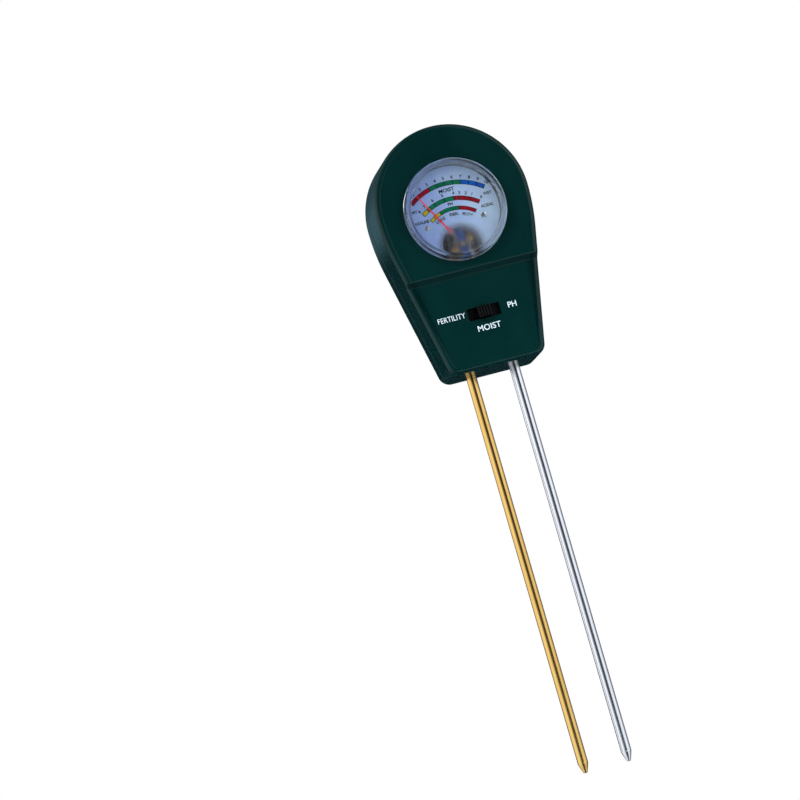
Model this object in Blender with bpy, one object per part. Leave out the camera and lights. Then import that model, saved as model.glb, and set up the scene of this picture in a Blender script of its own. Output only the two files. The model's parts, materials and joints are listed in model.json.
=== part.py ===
"""A three-function soil meter: a moving-coil movement and a slide switch in a two-part case with two probes.

Metres, +Z up. The dial faces -Y. The frame's origin is at the soil line, midway between the probe axes, which
lie in the case's parting plane. Parts of the head are placed from the middle of its lower end.
"""
import math

import bmesh
import bpy
from mathutils import Matrix, Vector

MM = 0.001
GAP = 0.3 * MM

# Head: outline seen from the front, heights from its lower end
SOIL_TO_HEAD = 58 * MM
HEAD_HEIGHT = 106 * MM
TOP_RADIUS = 33.7 * MM
TOP_CENTRE = HEAD_HEIGHT - TOP_RADIUS
FLANK_RADIUS = 95 * MM
FLANK_ANGLE = math.radians(11.5)
CORNER_RADIUS = 5 * MM
WALL = 2 * MM
EDGE_BEVEL = 1.4 * MM

# Head: depths from the parting plane, negative towards the dial
PANEL_FRONT = -16.8 * MM
RAISED_FRONT = -18.9 * MM
BACK = 9 * MM
STEP_LOW = 40.2 * MM
STEP_HIGH = 42.6 * MM
PANEL_INNER = PANEL_FRONT + WALL
RAISED_INNER = RAISED_FRONT + WALL
BACK_INNER = BACK - WALL
LIP_INSET = 2.3 * MM
LIP_THICKNESS = 1 * MM
LIP_REACH = 1.8 * MM
LIP_ROOT = 2 * MM

# Lens and dial
LENS_HEIGHT = 68.5 * MM
LENS_RADIUS = 21.9 * MM
LENS_BORE = 19.6 * MM
LENS_FRONT = RAISED_FRONT - 3 * MM
LENS_FACE = 1.2 * MM
LENS_DOME = 0.4 * MM
LENS_FLANGE_RADIUS = 24 * MM
LENS_FLANGE = 1.2 * MM
LENS_BACK = RAISED_INNER + GAP + LENS_FLANGE
DIAL_RADIUS = 22.6 * MM
DIAL_FRONT = -11.6 * MM
DIAL_THICKNESS = 0.5 * MM
DIAL_SCREW_X = 12.65 * MM
DIAL_SCREW_HEIGHT = 64.4 * MM

# Movement: the pivot's height, then radii about the pivot and depths
PIVOT_HEIGHT = 54 * MM
NEEDLE_ANGLE = math.radians(-28.8)
NEEDLE_LENGTH = 28.2 * MM
NEEDLE_FRONT = -13.9 * MM
NEEDLE_BACK = -13.6 * MM
DIAL_OPENING = 8.2 * MM
MAGNET_OUTER = 8.3 * MM
MAGNET_INNER = 6.6 * MM
MAGNET_FRONT = -10.5 * MM
MAGNET_BACK = -5.5 * MM
CORE_RADIUS = 4.2 * MM
COIL_MIDDLE = -8 * MM
COIL_DEPTH_OUT = 4.35 * MM
COIL_DEPTH_IN = 3.65 * MM
COIL_REACH_OUT = 6.05 * MM
COIL_REACH_IN = 5.35 * MM
COIL_WIDTH = 3.2 * MM
BOBBIN_DEPTH_OUT = COIL_DEPTH_IN - GAP
BOBBIN_DEPTH_IN = 3 * MM
BOBBIN_REACH_OUT = COIL_REACH_IN - GAP
BOBBIN_REACH_IN = 4.7 * MM
BASE_FRONT = -7.7 * MM
BASE_BACK = -5.7 * MM
BASE_RADIUS = 27 * MM
BASE_SCREW_X = 27 * MM
BASE_SCREW_HEIGHT = 67 * MM
BRIDGE_FRONT = -14.9 * MM
BRIDGE_THICKNESS = 0.7 * MM
BRIDGE_WIDTH = 3.5 * MM
BRIDGE_TOP = 6.2 * MM
BRIDGE_FOOT = MAGNET_OUTER + 2.2 * MM
REAR_BRIDGE_BACK = 0.7 * MM
REAR_FOOT_X = 11.2 * MM
METER_PIN_X = 6 * MM
METER_PIN_HEIGHT = 45.5 * MM

# Slide switch
SWITCH_HEIGHT = 23.3 * MM
SLOT_LENGTH = 14.5 * MM
SLOT_WIDTH = 5.3 * MM
SWITCH_TRAVEL = 4 * MM
KNOB_LENGTH = 6 * MM
KNOB_WIDTH = 4.7 * MM
KNOB_FRONT = PANEL_FRONT - 2.4 * MM
KNOB_RIBS = 5
SWITCH_SCREW_X = 14.5 * MM
FRAME_FRONT = -13.5 * MM
FRAME_THICKNESS = 0.5 * MM
FRAME_BACK = FRAME_FRONT + FRAME_THICKNESS
SKIRT_REACH = 7.8 * MM
SKIRT_RISE = 3.2 * MM
STEM_REACH = 1.9 * MM
STEM_RISE = 0.9 * MM
STEM_DEPTH = (-14 * MM, -11.8 * MM)
SLIDER_REACH = 3.4 * MM
SLIDER_RISE = 3.6 * MM
SLIDER_BACK = -10.8 * MM
CONTACT_REACH = 3.2 * MM
CONTACT_RISE = 1.3 * MM
CONTACT_FRONT = -10.5 * MM
CONTACT_BACK = -10.1 * MM
CHANNEL_REACH = 11 * MM
CHANNEL_RISE = 4.5 * MM
CHANNEL_BACK = -7.8 * MM
TERMINAL_PITCH = 5 * MM

# Circuit board
BOARD_FRONT = -6.2 * MM
BOARD_BACK = -5 * MM
BOARD_LENGTH = 30 * MM
BOARD_LOW = 18.2 * MM
BOARD_HIGH = 31.5 * MM

# Probes, which run down from inside the head
PROBE_X = 9.65 * MM
PROBE_RADIUS = 2.25 * MM
PROBE_SEAT = PROBE_RADIUS + GAP
PROBE_INSIDE = 25 * MM
PROBE_OUTSIDE = 174.5 * MM
PROBE_CONE = 4.2 * MM
PROBE_TIP_RADIUS = 0.9 * MM
CLAMP_LOW = 11 * MM
CLAMP_HIGH = 18 * MM
CLAMP_MIDDLE = (CLAMP_LOW + CLAMP_HIGH) / 2
CLAMP_SCREW_X = 4.1 * MM
TAG_HEIGHT = 21.5 * MM

# Case screws
COVER_SCREWS = {
    "top": (0, 99.2 * MM),
    "left": (-16 * MM, 6.8 * MM),
    "right": (16 * MM, 6.8 * MM),
}
CASE_SCREW = (2.2 * MM, 1 * MM, 1.4 * MM)
CASE_SCREW_SEAT = 5.3 * MM
CASE_SCREW_LENGTH = 13 * MM
CASE_BOSS = 2.8 * MM
REAR_BOSS = 3.6 * MM
CASE_BORE = 1.4 * MM
CASE_BORE_FRONT = -10 * MM
SINK_RADIUS = 2.6 * MM
SINK_FLOOR = 5 * MM

# Bosses and bores for what the front cover carries
METER_BOSS = 2.5 * MM
METER_BORE = 1.1 * MM
METER_BORE_FRONT = -13.5 * MM
SWITCH_BOSS = 2.2 * MM
SWITCH_BORE = 0.95 * MM
SWITCH_BORE_DEPTH = (-16 * MM, -12 * MM)
CLAMP_REACH = 14 * MM
CLAMP_POST = 2.3 * MM
CLAMP_BORE = 1.1 * MM
CLAMP_BORE_FRONT = -8 * MM
SEAT_RIB_NEAR = 0.5 * MM
SEAT_RIB_FAR = 2 * MM

GREEN = ("dark green plastic", (0.004, 0.030, 0.028), 0.3, 0)
BLACK = ("black plastic", (0.008, 0.008, 0.009), 0.4, 0)
CLEAR = ("clear plastic", (0.80, 0.84, 0.90), 0.05, 0)
DIAL = ("dial metal", (0.42, 0.48, 0.60), 0.45, 0.3)
CREAM = ("cream plastic", (0.55, 0.52, 0.42), 0.5, 0)
STEEL = ("steel", (0.45, 0.46, 0.48), 0.3, 1)
BLUED = ("blued metal", (0.08, 0.14, 0.28), 0.35, 1)
FERRITE = ("ferrite", (0.03, 0.03, 0.035), 0.7, 0)
COPPER = ("enamelled copper wire", (0.45, 0.16, 0.05), 0.35, 1)
ALUMINIUM = ("aluminium", (0.6, 0.61, 0.63), 0.35, 1)
RED = ("red needle paint", (0.8, 0.02, 0.015), 0.4, 0)
BRASS = ("brass", (0.62, 0.42, 0.14), 0.3, 1)
GOLD = ("gold-coloured brass", (0.72, 0.43, 0.10), 0.25, 1)
SILVER = ("aluminium rod", (0.72, 0.73, 0.76), 0.25, 1)
BOARD = ("circuit board laminate", (0.30, 0.16, 0.05), 0.6, 0)
RESISTOR = ("resistor coating", (0.55, 0.42, 0.25), 0.5, 0)
RED_WIRE = ("red wire cover", (0.5, 0.02, 0.02), 0.5, 0)
BLACK_WIRE = ("black wire cover", (0.02, 0.02, 0.02), 0.5, 0)


# ---------------------------------------------------------------- scene and materials

def clear_scene():
    for obj in list(bpy.data.objects):
        bpy.data.objects.remove(obj, do_unlink=True)


def material(look):
    name, colour, roughness, metallic = look
    made = bpy.data.materials.get(name)
    if made:
        return made
    made = bpy.data.materials.new(name)
    made.use_nodes = True
    shader = made.node_tree.nodes["Principled BSDF"]
    shader.inputs["Base Color"].default_value = (*colour, 1)
    shader.inputs["Roughness"].default_value = roughness
    shader.inputs["Metallic"].default_value = metallic
    return made


def empty(name, location, parent=None):
    made = bpy.data.objects.new(name, None)
    made.location = location
    made.parent = parent
    bpy.context.collection.objects.link(made)
    return made


def part(name, mesh, look, parent, location=(0, 0, 0), rotation=(0, 0, 0)):
    """One sub-part: an object with its own material slot, placed under its parent."""
    mesh.name = name
    mesh.materials.append(material(look))
    mesh.shade_smooth()
    mesh.set_sharp_from_angle(angle=math.radians(35))
    obj = bpy.data.objects.new(name, mesh)
    obj.parent = parent
    obj.location = location
    obj.rotation_euler = rotation
    bpy.context.collection.objects.link(obj)
    return obj


def combine(obj, mesh, operation):
    """Join to obj, or cut from it, a solid given in obj's own coordinates; returns the hidden tool object."""
    tool = bpy.data.objects.new(obj.name + "_tool", mesh)
    tool.parent = obj
    tool.hide_render = True
    tool.display_type = "WIRE"
    bpy.context.collection.objects.link(tool)
    boolean = obj.modifiers.new(operation.lower(), "BOOLEAN")
    boolean.operation = operation
    boolean.solver = "EXACT"
    boolean.object = tool
    return tool


def bevel(obj, width, segments=2):
    rounding = obj.modifiers.new("rounding", "BEVEL")
    rounding.width = width
    rounding.segments = segments
    rounding.limit_method = "ANGLE"
    rounding.angle_limit = math.radians(40)


# ---------------------------------------------------------------- solids

def to_mesh(shape):
    bmesh.ops.recalc_face_normals(shape, faces=shape.faces)
    mesh = bpy.data.meshes.new("shape")
    shape.to_mesh(mesh)
    shape.free()
    return mesh


def merged(*meshes):
    """One mesh that holds several separate solids."""
    shape = bmesh.new()
    for mesh in meshes:
        shape.from_mesh(mesh)
        bpy.data.meshes.remove(mesh)
    return to_mesh(shape)


def moved(mesh, matrix):
    mesh.transform(matrix)
    return mesh


def prism(outline, front, back):
    """The (x, z) outline extruded from y = front to y = back."""
    shape = bmesh.new()
    near = [shape.verts.new((x, front, z)) for x, z in outline]
    cap = shape.faces.new(near)
    grown = bmesh.ops.extrude_face_region(shape, geom=[cap])
    far = [item for item in grown["geom"] if isinstance(item, bmesh.types.BMVert)]
    bmesh.ops.translate(shape, verts=far, vec=(0, back - front, 0))
    return to_mesh(shape)


def side_prism(profile, half_width):
    """The (y, z) profile extruded across x."""
    swap = Matrix(((0, 1, 0, 0), (1, 0, 0, 0), (0, 0, 1, 0), (0, 0, 0, 1)))
    return merged(moved(prism(profile, -half_width, half_width), swap))


def level_prism(profile, half_width):
    """The (x, y) profile extruded across z."""
    swap = Matrix(((1, 0, 0, 0), (0, 0, 1, 0), (0, 1, 0, 0), (0, 0, 0, 1)))
    return merged(moved(prism(profile, -half_width, half_width), swap))


def box(x, y, z):
    """A box from its three (low, high) ranges."""
    outline = [(x[0], z[0]), (x[1], z[0]), (x[1], z[1]), (x[0], z[1])]
    return prism(outline, y[0], y[1])


def slab(half_x, y, half_z):
    return box((-half_x, half_x), y, (-half_z, half_z))


def circle(radius, count, x=0, z=0):
    turns = [math.tau * step / count for step in range(count)]
    return [(x + radius * math.cos(a), z + radius * math.sin(a)) for a in turns]


def disc(radius, front, back, count=16, x=0, z=0):
    """A round solid with its axis along y."""
    return prism(circle(radius, count, x, z), front, back)


def post(radius, low, high, count=16, x=0, y=0):
    """A round solid with its axis along z."""
    lying = disc(radius, low, high, count, x, -y)
    return moved(lying, Matrix.Rotation(math.radians(90), 4, "X"))


def turned(profile, count, closed=False):
    """The (radius, y) profile turned about the y axis. A closed profile makes a ring."""
    shape = bmesh.new()
    verts = [shape.verts.new((radius, y, 0)) for radius, y in profile]
    edges = [shape.edges.new(pair) for pair in zip(verts, verts[1:])]
    if closed:
        edges.append(shape.edges.new((verts[-1], verts[0])))
    bmesh.ops.spin(
        shape, geom=verts + edges, axis=(0, 1, 0), cent=(0, 0, 0),
        angle=math.tau, steps=count, use_merge=True,
    )
    bmesh.ops.remove_doubles(shape, verts=shape.verts, dist=0.00001)
    return to_mesh(shape)


def arc(centre_x, centre_z, radius, start, end, steps):
    angles = [start + (end - start) * step / steps for step in range(steps + 1)]
    return [(centre_x + radius * math.cos(a), centre_z + radius * math.sin(a)) for a in angles]


def head_outline(inset=0, top_steps=13):
    """The head's outline from the bottom's right end round to its left end, moved in by inset."""
    flank_x = TOP_RADIUS - FLANK_RADIUS
    lean = FLANK_ANGLE
    foot_x = flank_x + FLANK_RADIUS * math.cos(lean)
    foot_z = TOP_CENTRE - FLANK_RADIUS * math.sin(lean)
    drop = foot_z - CORNER_RADIUS
    corner_x = foot_x - (CORNER_RADIUS + drop * math.sin(lean)) / math.cos(lean)
    right = arc(corner_x, CORNER_RADIUS, CORNER_RADIUS - inset, -math.pi / 2, -lean, 3)
    right += arc(flank_x, TOP_CENTRE, FLANK_RADIUS - inset, -lean, 0, 3)
    right += arc(0, TOP_CENTRE, TOP_RADIUS - inset, 0, math.pi / 2, top_steps)[1:]
    left = [(-x, z) for x, z in reversed(right[:-1])]
    return right + left


def tube(name, points, radius, look, parent):
    """A wire along the given points, made as a curve with a round bevel."""
    curve = bpy.data.curves.new(name, "CURVE")
    curve.dimensions = "3D"
    curve.bevel_depth = radius
    curve.bevel_resolution = 2
    curve.use_fill_caps = True
    curve.materials.append(material(look))
    line = curve.splines.new("POLY")
    line.points.add(len(points) - 1)
    for point, place in zip(line.points, points):
        point.co = (*place, 1)
    obj = bpy.data.objects.new(name, curve)
    obj.parent = parent
    bpy.context.collection.objects.link(obj)
    return obj


def smooth_route(stops, count=14):
    """Points along a Bezier curve whose two handles are the middle stops."""
    start, first, second, end = [Vector(stop) for stop in stops]
    route = []
    for step in range(count + 1):
        t = step / count
        s = 1 - t
        route.append(s**3 * start + 3 * s * s * t * first + 3 * s * t * t * second + t**3 * end)
    return route


def screw(name, head, place, under_head, length, parent):
    """A pan-head screw driven towards -y from under_head, with a slot."""
    head_radius, shaft_radius, head_height = head
    top = under_head + head_height
    profile = [
        (0, top),
        (head_radius * 0.75, top),
        (head_radius, top - head_height * 0.45),
        (head_radius, under_head),
        (shaft_radius, under_head),
        (shaft_radius, under_head - length),
        (0, under_head - length),
    ]
    obj = part(name, turned(profile, 10), STEEL, parent, (place[0], 0, place[1]))
    slot = slab(head_radius * 1.2, (top - head_height * 0.4, top + WALL), head_radius * 0.14)
    combine(obj, slot, "DIFFERENCE")
    return obj


# ---------------------------------------------------------------- case

def below_step(panel, raised, drop):
    """The space in front of the lower panel: what is cut from the head's form below its step."""
    profile = [
        (raised - WALL, -WALL),
        (panel, -WALL),
        (panel, STEP_LOW - drop),
        (raised, STEP_HIGH - drop),
        (raised - WALL, STEP_HIGH - drop),
    ]
    return side_prism(profile, TOP_RADIUS * 2)


def probe_channels(low, high):
    channels = [post(PROBE_SEAT, low, high, 20, side * PROBE_X) for side in (-1, 1)]
    return merged(*channels)


def front_cover(parent):
    cover = part("front_cover", prism(head_outline(), RAISED_FRONT, WALL * 2), GREEN, parent)
    combine(cover, below_step(PANEL_FRONT, RAISED_FRONT, 0), "DIFFERENCE")
    bevel(cover, EDGE_BEVEL)
    reach = TOP_RADIUS * 2
    combine(cover, box((-reach, reach), (-GAP / 2, WALL * 3), (-reach, reach * 2)), "DIFFERENCE")
    inside = combine(cover, prism(head_outline(WALL), RAISED_INNER, WALL), "DIFFERENCE")
    combine(inside, below_step(PANEL_INNER, RAISED_INNER, 2 * GAP), "DIFFERENCE")
    window = disc(LENS_RADIUS + GAP * 2, RAISED_FRONT - WALL, RAISED_INNER + WALL, 48, 0, LENS_HEIGHT)
    slot_depth = (PANEL_FRONT - WALL, PANEL_INNER + WALL)
    slot = slab(SLOT_LENGTH / 2, slot_depth, SLOT_WIDTH / 2)
    combine(cover, merged(window, moved(slot, Matrix.Translation((0, 0, SWITCH_HEIGHT)))), "DIFFERENCE")
    combine(cover, front_bosses(), "UNION")
    probe_seats(cover)
    combine(cover, probe_channels(-WALL, CLAMP_HIGH + WALL), "DIFFERENCE")
    combine(cover, front_bores(), "DIFFERENCE")
    return cover


def front_bosses():
    """Bosses for the case screws, the meter base, the switch and the probe clamp."""
    bosses = []
    for x, z in COVER_SCREWS.values():
        face = RAISED_INNER if z > STEP_HIGH else PANEL_INNER
        bosses.append(disc(CASE_BOSS, face - WALL / 2, -GAP, 16, x, z))
    meter = (RAISED_INNER - WALL / 2, BASE_FRONT - GAP)
    switch = (PANEL_INNER - WALL / 2, FRAME_FRONT - GAP)
    for side in (-1, 1):
        bosses.append(disc(METER_BOSS, *meter, 16, side * BASE_SCREW_X, BASE_SCREW_HEIGHT))
        bosses.append(disc(SWITCH_BOSS, *switch, 16, side * SWITCH_SCREW_X, SWITCH_HEIGHT))
    return merged(*bosses)


def probe_seats(cover):
    """Two cross ribs that seat the probes, with a post between them for each clamp screw."""
    depth = (PANEL_INNER - WALL / 2, -GAP)
    across = (-CLAMP_REACH, CLAMP_REACH)
    low = (CLAMP_LOW + SEAT_RIB_NEAR, CLAMP_LOW + SEAT_RIB_FAR)
    high = (CLAMP_HIGH - SEAT_RIB_FAR, CLAMP_HIGH - SEAT_RIB_NEAR)
    combine(cover, merged(box(across, depth, low), box(across, depth, high)), "UNION")
    posts = [disc(CLAMP_POST, *depth, 16, side * CLAMP_SCREW_X, CLAMP_MIDDLE) for side in (-1, 1)]
    combine(cover, merged(*posts), "UNION")


def front_bores():
    bores = []
    for x, z in COVER_SCREWS.values():
        bores.append(disc(CASE_BORE, CASE_BORE_FRONT, WALL, 12, x, z))
    for side in (-1, 1):
        meter = (side * BASE_SCREW_X, BASE_SCREW_HEIGHT)
        bores.append(disc(METER_BORE, METER_BORE_FRONT, BASE_FRONT + WALL, 12, *meter))
        switch = (side * SWITCH_SCREW_X, SWITCH_HEIGHT)
        bores.append(disc(SWITCH_BORE, *SWITCH_BORE_DEPTH, 12, *switch))
        bores.append(disc(CLAMP_BORE, CLAMP_BORE_FRONT, WALL, 12, side * CLAMP_SCREW_X, CLAMP_MIDDLE))
    return merged(*bores)


def rear_cover(parent):
    """The back of the case, with a lip inside its wall that reaches forward into the front cover."""
    rounded = arc(EDGE_BEVEL, BACK - EDGE_BEVEL, EDGE_BEVEL, math.pi, math.pi / 2, 3)
    lip_inner = LIP_INSET + LIP_THICKNESS
    section = [
        (WALL, BACK_INNER),
        (WALL, LIP_ROOT),
        (lip_inner, LIP_ROOT),
        (lip_inner, -LIP_REACH),
        (LIP_INSET, -LIP_REACH),
        (LIP_INSET, GAP / 2),
        (0, GAP / 2),
    ]
    cover = part("rear_cover", outline_shell(section + rounded), GREEN, parent)
    bosses = [disc(REAR_BOSS, GAP, BACK_INNER + WALL / 2, 12, x, z) for x, z in COVER_SCREWS.values()]
    combine(cover, merged(*bosses), "UNION")
    combine(cover, probe_channels(-WALL, WALL * 2), "DIFFERENCE")
    bores = [disc(CASE_BORE, -WALL, BACK + WALL, 8, x, z) for x, z in COVER_SCREWS.values()]
    combine(cover, merged(*bores), "DIFFERENCE")
    sinks = [disc(SINK_RADIUS, SINK_FLOOR, BACK + WALL, 12, x, z) for x, z in COVER_SCREWS.values()]
    combine(cover, merged(*sinks), "DIFFERENCE")
    return cover


def outline_shell(section):
    """A shell whose walls follow the head's outline: one loop for each (inset, y), closed at both ends."""
    shape = bmesh.new()
    loops = [[shape.verts.new((x, y, z)) for x, z in head_outline(inset)] for inset, y in section]
    for first, second in zip(loops, loops[1:]):
        for corners in zip(first, first[1:] + first[:1], second[1:] + second[:1], second):
            shape.faces.new(corners)
    shape.faces.new(loops[0])
    shape.faces.new(loops[-1])
    return to_mesh(shape)


def cover_screws(parent):
    for name, place in COVER_SCREWS.items():
        screw("cover_screw_" + name, CASE_SCREW, place, CASE_SCREW_SEAT, CASE_SCREW_LENGTH, parent)


# ---------------------------------------------------------------- lens and dial

def lens(parent):
    """A clear cup with a slightly domed face, held behind the front cover by its flange."""
    face = [(LENS_BORE * step / 3, LENS_DOME * (1 - (step / 3) ** 2)) for step in range(4)]
    outside = [(radius, LENS_FRONT - rise) for radius, rise in face]
    outside.append((LENS_RADIUS - 0.8 * MM, LENS_FRONT + 0.1 * MM))
    outside.append((LENS_RADIUS, LENS_FRONT + 0.9 * MM))
    rim = [
        (LENS_RADIUS, RAISED_INNER + GAP),
        (LENS_FLANGE_RADIUS, RAISED_INNER + GAP),
        (LENS_FLANGE_RADIUS, LENS_BACK),
        (LENS_BORE, LENS_BACK),
    ]
    inside = [(LENS_BORE, LENS_FRONT + LENS_FACE + 0.3 * MM)]
    inside += [(radius, LENS_FRONT + LENS_FACE - rise) for radius, rise in reversed(face[:-1])]
    part("lens", turned(outside + rim + inside, 36), CLEAR, parent, (0, 0, LENS_HEIGHT))


def dial_plate(parent):
    """A round plate with a keyhole opening, so that it slips over the movement's bridge."""
    back = DIAL_FRONT + DIAL_THICKNESS
    dial = part("dial_plate", disc(DIAL_RADIUS, DIAL_FRONT, back, 48), DIAL, parent, (0, 0, LENS_HEIGHT))
    drop = PIVOT_HEIGHT - LENS_HEIGHT
    depth = (DIAL_FRONT - WALL, back + WALL)
    combine(dial, disc(DIAL_OPENING, *depth, 32, 0, drop), "DIFFERENCE")
    combine(dial, box((-2.8 * MM, 2.8 * MM), depth, (-DIAL_RADIUS * 1.1, drop)), "DIFFERENCE")
    rise = DIAL_SCREW_HEIGHT - LENS_HEIGHT
    holes = [disc(0.85 * MM, *depth, 12, side * DIAL_SCREW_X, rise) for side in (-1, 1)]
    combine(dial, merged(*holes), "DIFFERENCE")


def dial_screws(parent):
    for name, side in (("left", -1), ("right", 1)):
        head = DIAL_FRONT - GAP
        profile = [
            (0, head - 0.7 * MM),
            (0.7 * MM, head - 0.65 * MM),
            (1.1 * MM, head - 0.25 * MM),
            (1.1 * MM, head),
            (0.55 * MM, head),
            (0.55 * MM, head + 2.3 * MM),
            (0, head + 2.6 * MM),
        ]
        place = (side * DIAL_SCREW_X, 0, DIAL_SCREW_HEIGHT)
        dial_screw = part("dial_screw_" + name, turned(profile, 16), STEEL, parent, place)
        slot = slab(1.5 * MM, (head - WALL, head - 0.45 * MM), 0.15 * MM)
        combine(dial_screw, slot, "DIFFERENCE")


# ---------------------------------------------------------------- movement: fixed parts

def meter_base(parent):
    """The moulded frame that carries the movement and the dial, screwed to the front cover."""
    rise = PIVOT_HEIGHT - LENS_HEIGHT
    plate = disc(BASE_RADIUS, BASE_FRONT, BASE_BACK, 40)
    base = part("meter_base", plate, CREAM, parent, (0, 0, LENS_HEIGHT))
    ear_height = BASE_SCREW_HEIGHT - LENS_HEIGHT
    ear_reach = BASE_SCREW_X + 2.6 * MM
    ear_span = (ear_height - 2.6 * MM, ear_height + 2.6 * MM)
    ears = box((-ear_reach, ear_reach), (BASE_FRONT, BASE_BACK), ear_span)
    combine(base, ears, "UNION")
    height = DIAL_SCREW_HEIGHT - LENS_HEIGHT
    top = DIAL_FRONT + DIAL_THICKNESS + GAP
    posts = [disc(1.9 * MM, top, BASE_BACK - WALL / 2, 16, side * DIAL_SCREW_X, height) for side in (-1, 1)]
    combine(base, merged(*posts), "UNION")
    depth = (BASE_FRONT - WALL * 3, BASE_BACK + WALL)
    cuts = [disc(MAGNET_OUTER + GAP, *depth, 32, 0, rise)]
    for side in (-1, 1):
        cuts.append(disc(METER_BORE, *depth, 12, side * BASE_SCREW_X, ear_height))
        cuts.append(disc(0.85 * MM, BASE_FRONT - WALL * 3, BASE_FRONT, 12, side * DIAL_SCREW_X, height))
    cuts.append(disc(0.9 * MM, *depth, 12, 0, rise - BRIDGE_FOOT))
    cuts += [disc(0.8 * MM, *depth, 12, side * REAR_FOOT_X, rise) for side in (-1, 1)]
    pin_rise = METER_PIN_HEIGHT - LENS_HEIGHT
    cuts += [disc(0.8 * MM, *depth, 12, side * METER_PIN_X, pin_rise) for side in (-1, 1)]
    combine(base, merged(*cuts), "DIFFERENCE")


def meter_screws(parent):
    for name, side in (("left", -1), ("right", 1)):
        place = (side * BASE_SCREW_X, BASE_SCREW_HEIGHT)
        screw("meter_screw_" + name, (1.9 * MM, 0.8 * MM, 1.1 * MM), place, BASE_BACK + GAP, 7 * MM, parent)


def ring_magnet(parent):
    profile = [
        (MAGNET_OUTER, MAGNET_FRONT),
        (MAGNET_OUTER, MAGNET_BACK),
        (MAGNET_INNER, MAGNET_BACK),
        (MAGNET_INNER, MAGNET_FRONT),
    ]
    part("ring_magnet", turned(profile, 32, closed=True), FERRITE, parent, (0, 0, PIVOT_HEIGHT))


def iron_core(parent):
    """The soft-iron core inside the coil, with a lug above and below that reaches the magnet."""
    front = MAGNET_FRONT
    back = MAGNET_BACK
    core = part("iron_core", disc(CORE_RADIUS, front, back, 24), STEEL, parent, (0, 0, PIVOT_HEIGHT))
    lug = MAGNET_INNER - GAP - 0.15 * MM
    combine(core, box((-0.9 * MM, 0.9 * MM), (front + GAP, back - GAP), (-lug, lug)), "UNION")


def front_bridge(parent):
    """A cranked strap that rises from the base, crosses the dial's opening and holds the front jewel."""
    low = -BRIDGE_FOOT - 1.6 * MM
    leg_back = BASE_FRONT - GAP
    leg = [
        (leg_back, low),
        (leg_back, low + 3.2 * MM),
        (leg_back - BRIDGE_THICKNESS, low + 3.2 * MM),
        (leg_back - BRIDGE_THICKNESS, low + BRIDGE_THICKNESS),
        (BRIDGE_FRONT + BRIDGE_THICKNESS, low + BRIDGE_THICKNESS),
        (BRIDGE_FRONT + BRIDGE_THICKNESS, BRIDGE_TOP),
        (BRIDGE_FRONT, BRIDGE_TOP),
        (BRIDGE_FRONT, low),
    ]
    bridge = part("front_bridge", side_prism(leg, BRIDGE_WIDTH / 2), BLUED, parent, (0, 0, PIVOT_HEIGHT))
    combine(bridge, disc(1.1 * MM, BRIDGE_FRONT - WALL, BRIDGE_FRONT + WALL, 16), "DIFFERENCE")
    hole = disc(0.85 * MM, leg_back - WALL, leg_back + WALL, 12, 0, -BRIDGE_FOOT)
    combine(bridge, hole, "DIFFERENCE")


def rear_bridge(parent):
    """A channel across the back of the movement that holds the rear jewel."""
    front = REAR_BRIDGE_BACK - BRIDGE_THICKNESS
    foot_front = BASE_BACK + GAP
    inner = 9.2 * MM
    outer = 12.6 * MM
    outline = [
        (-outer, foot_front),
        (-inner, foot_front),
        (-inner, front),
        (inner, front),
        (inner, foot_front),
        (outer, foot_front),
        (outer, foot_front + BRIDGE_THICKNESS),
        (inner + BRIDGE_THICKNESS, foot_front + BRIDGE_THICKNESS),
        (inner + BRIDGE_THICKNESS, REAR_BRIDGE_BACK),
        (-inner - BRIDGE_THICKNESS, REAR_BRIDGE_BACK),
        (-inner - BRIDGE_THICKNESS, foot_front + BRIDGE_THICKNESS),
        (-outer, foot_front + BRIDGE_THICKNESS),
    ]
    bridge = part("rear_bridge", level_prism(outline, BRIDGE_WIDTH / 2), BLUED, parent, (0, 0, PIVOT_HEIGHT))
    combine(bridge, disc(1.1 * MM, front - WALL, REAR_BRIDGE_BACK + WALL, 16), "DIFFERENCE")
    depth = (foot_front - WALL / 2, foot_front + WALL)
    holes = [disc(0.75 * MM, *depth, 12, side * REAR_FOOT_X) for side in (-1, 1)]
    combine(bridge, merged(*holes), "DIFFERENCE")


def bridge_screws(parent):
    small = (1.1 * MM, 0.45 * MM, 0.7 * MM)
    for name, side in (("left", -1), ("right", 1)):
        place = (side * REAR_FOOT_X, PIVOT_HEIGHT)
        seat = BASE_BACK + GAP * 2 + BRIDGE_THICKNESS
        screw("rear_bridge_screw_" + name, small, place, seat, 2.6 * MM, parent)
    foot = (0, PIVOT_HEIGHT - BRIDGE_FOOT)
    screw("front_bridge_screw", small, foot, BASE_BACK + GAP, 3.1 * MM, parent)


def jewel_screw(name, face, direction, parent):
    """A headless screw with a cup for the pivot's tip; face is the end with the cup."""
    cup = 0.4 * MM
    length = 1.5 * MM
    profile = [
        (0, face + direction * cup),
        (0.45 * MM, face),
        (0.8 * MM, face),
        (0.8 * MM, face + direction * length),
        (0, face + direction * length),
    ]
    jewel = part(name, turned(profile, 16), BRASS, parent, (0, 0, PIVOT_HEIGHT))
    far = face + direction * length
    ends = sorted((far - direction * 0.3 * MM, far + direction * WALL))
    combine(jewel, slab(1 * MM, ends, 0.12 * MM), "DIFFERENCE")


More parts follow.
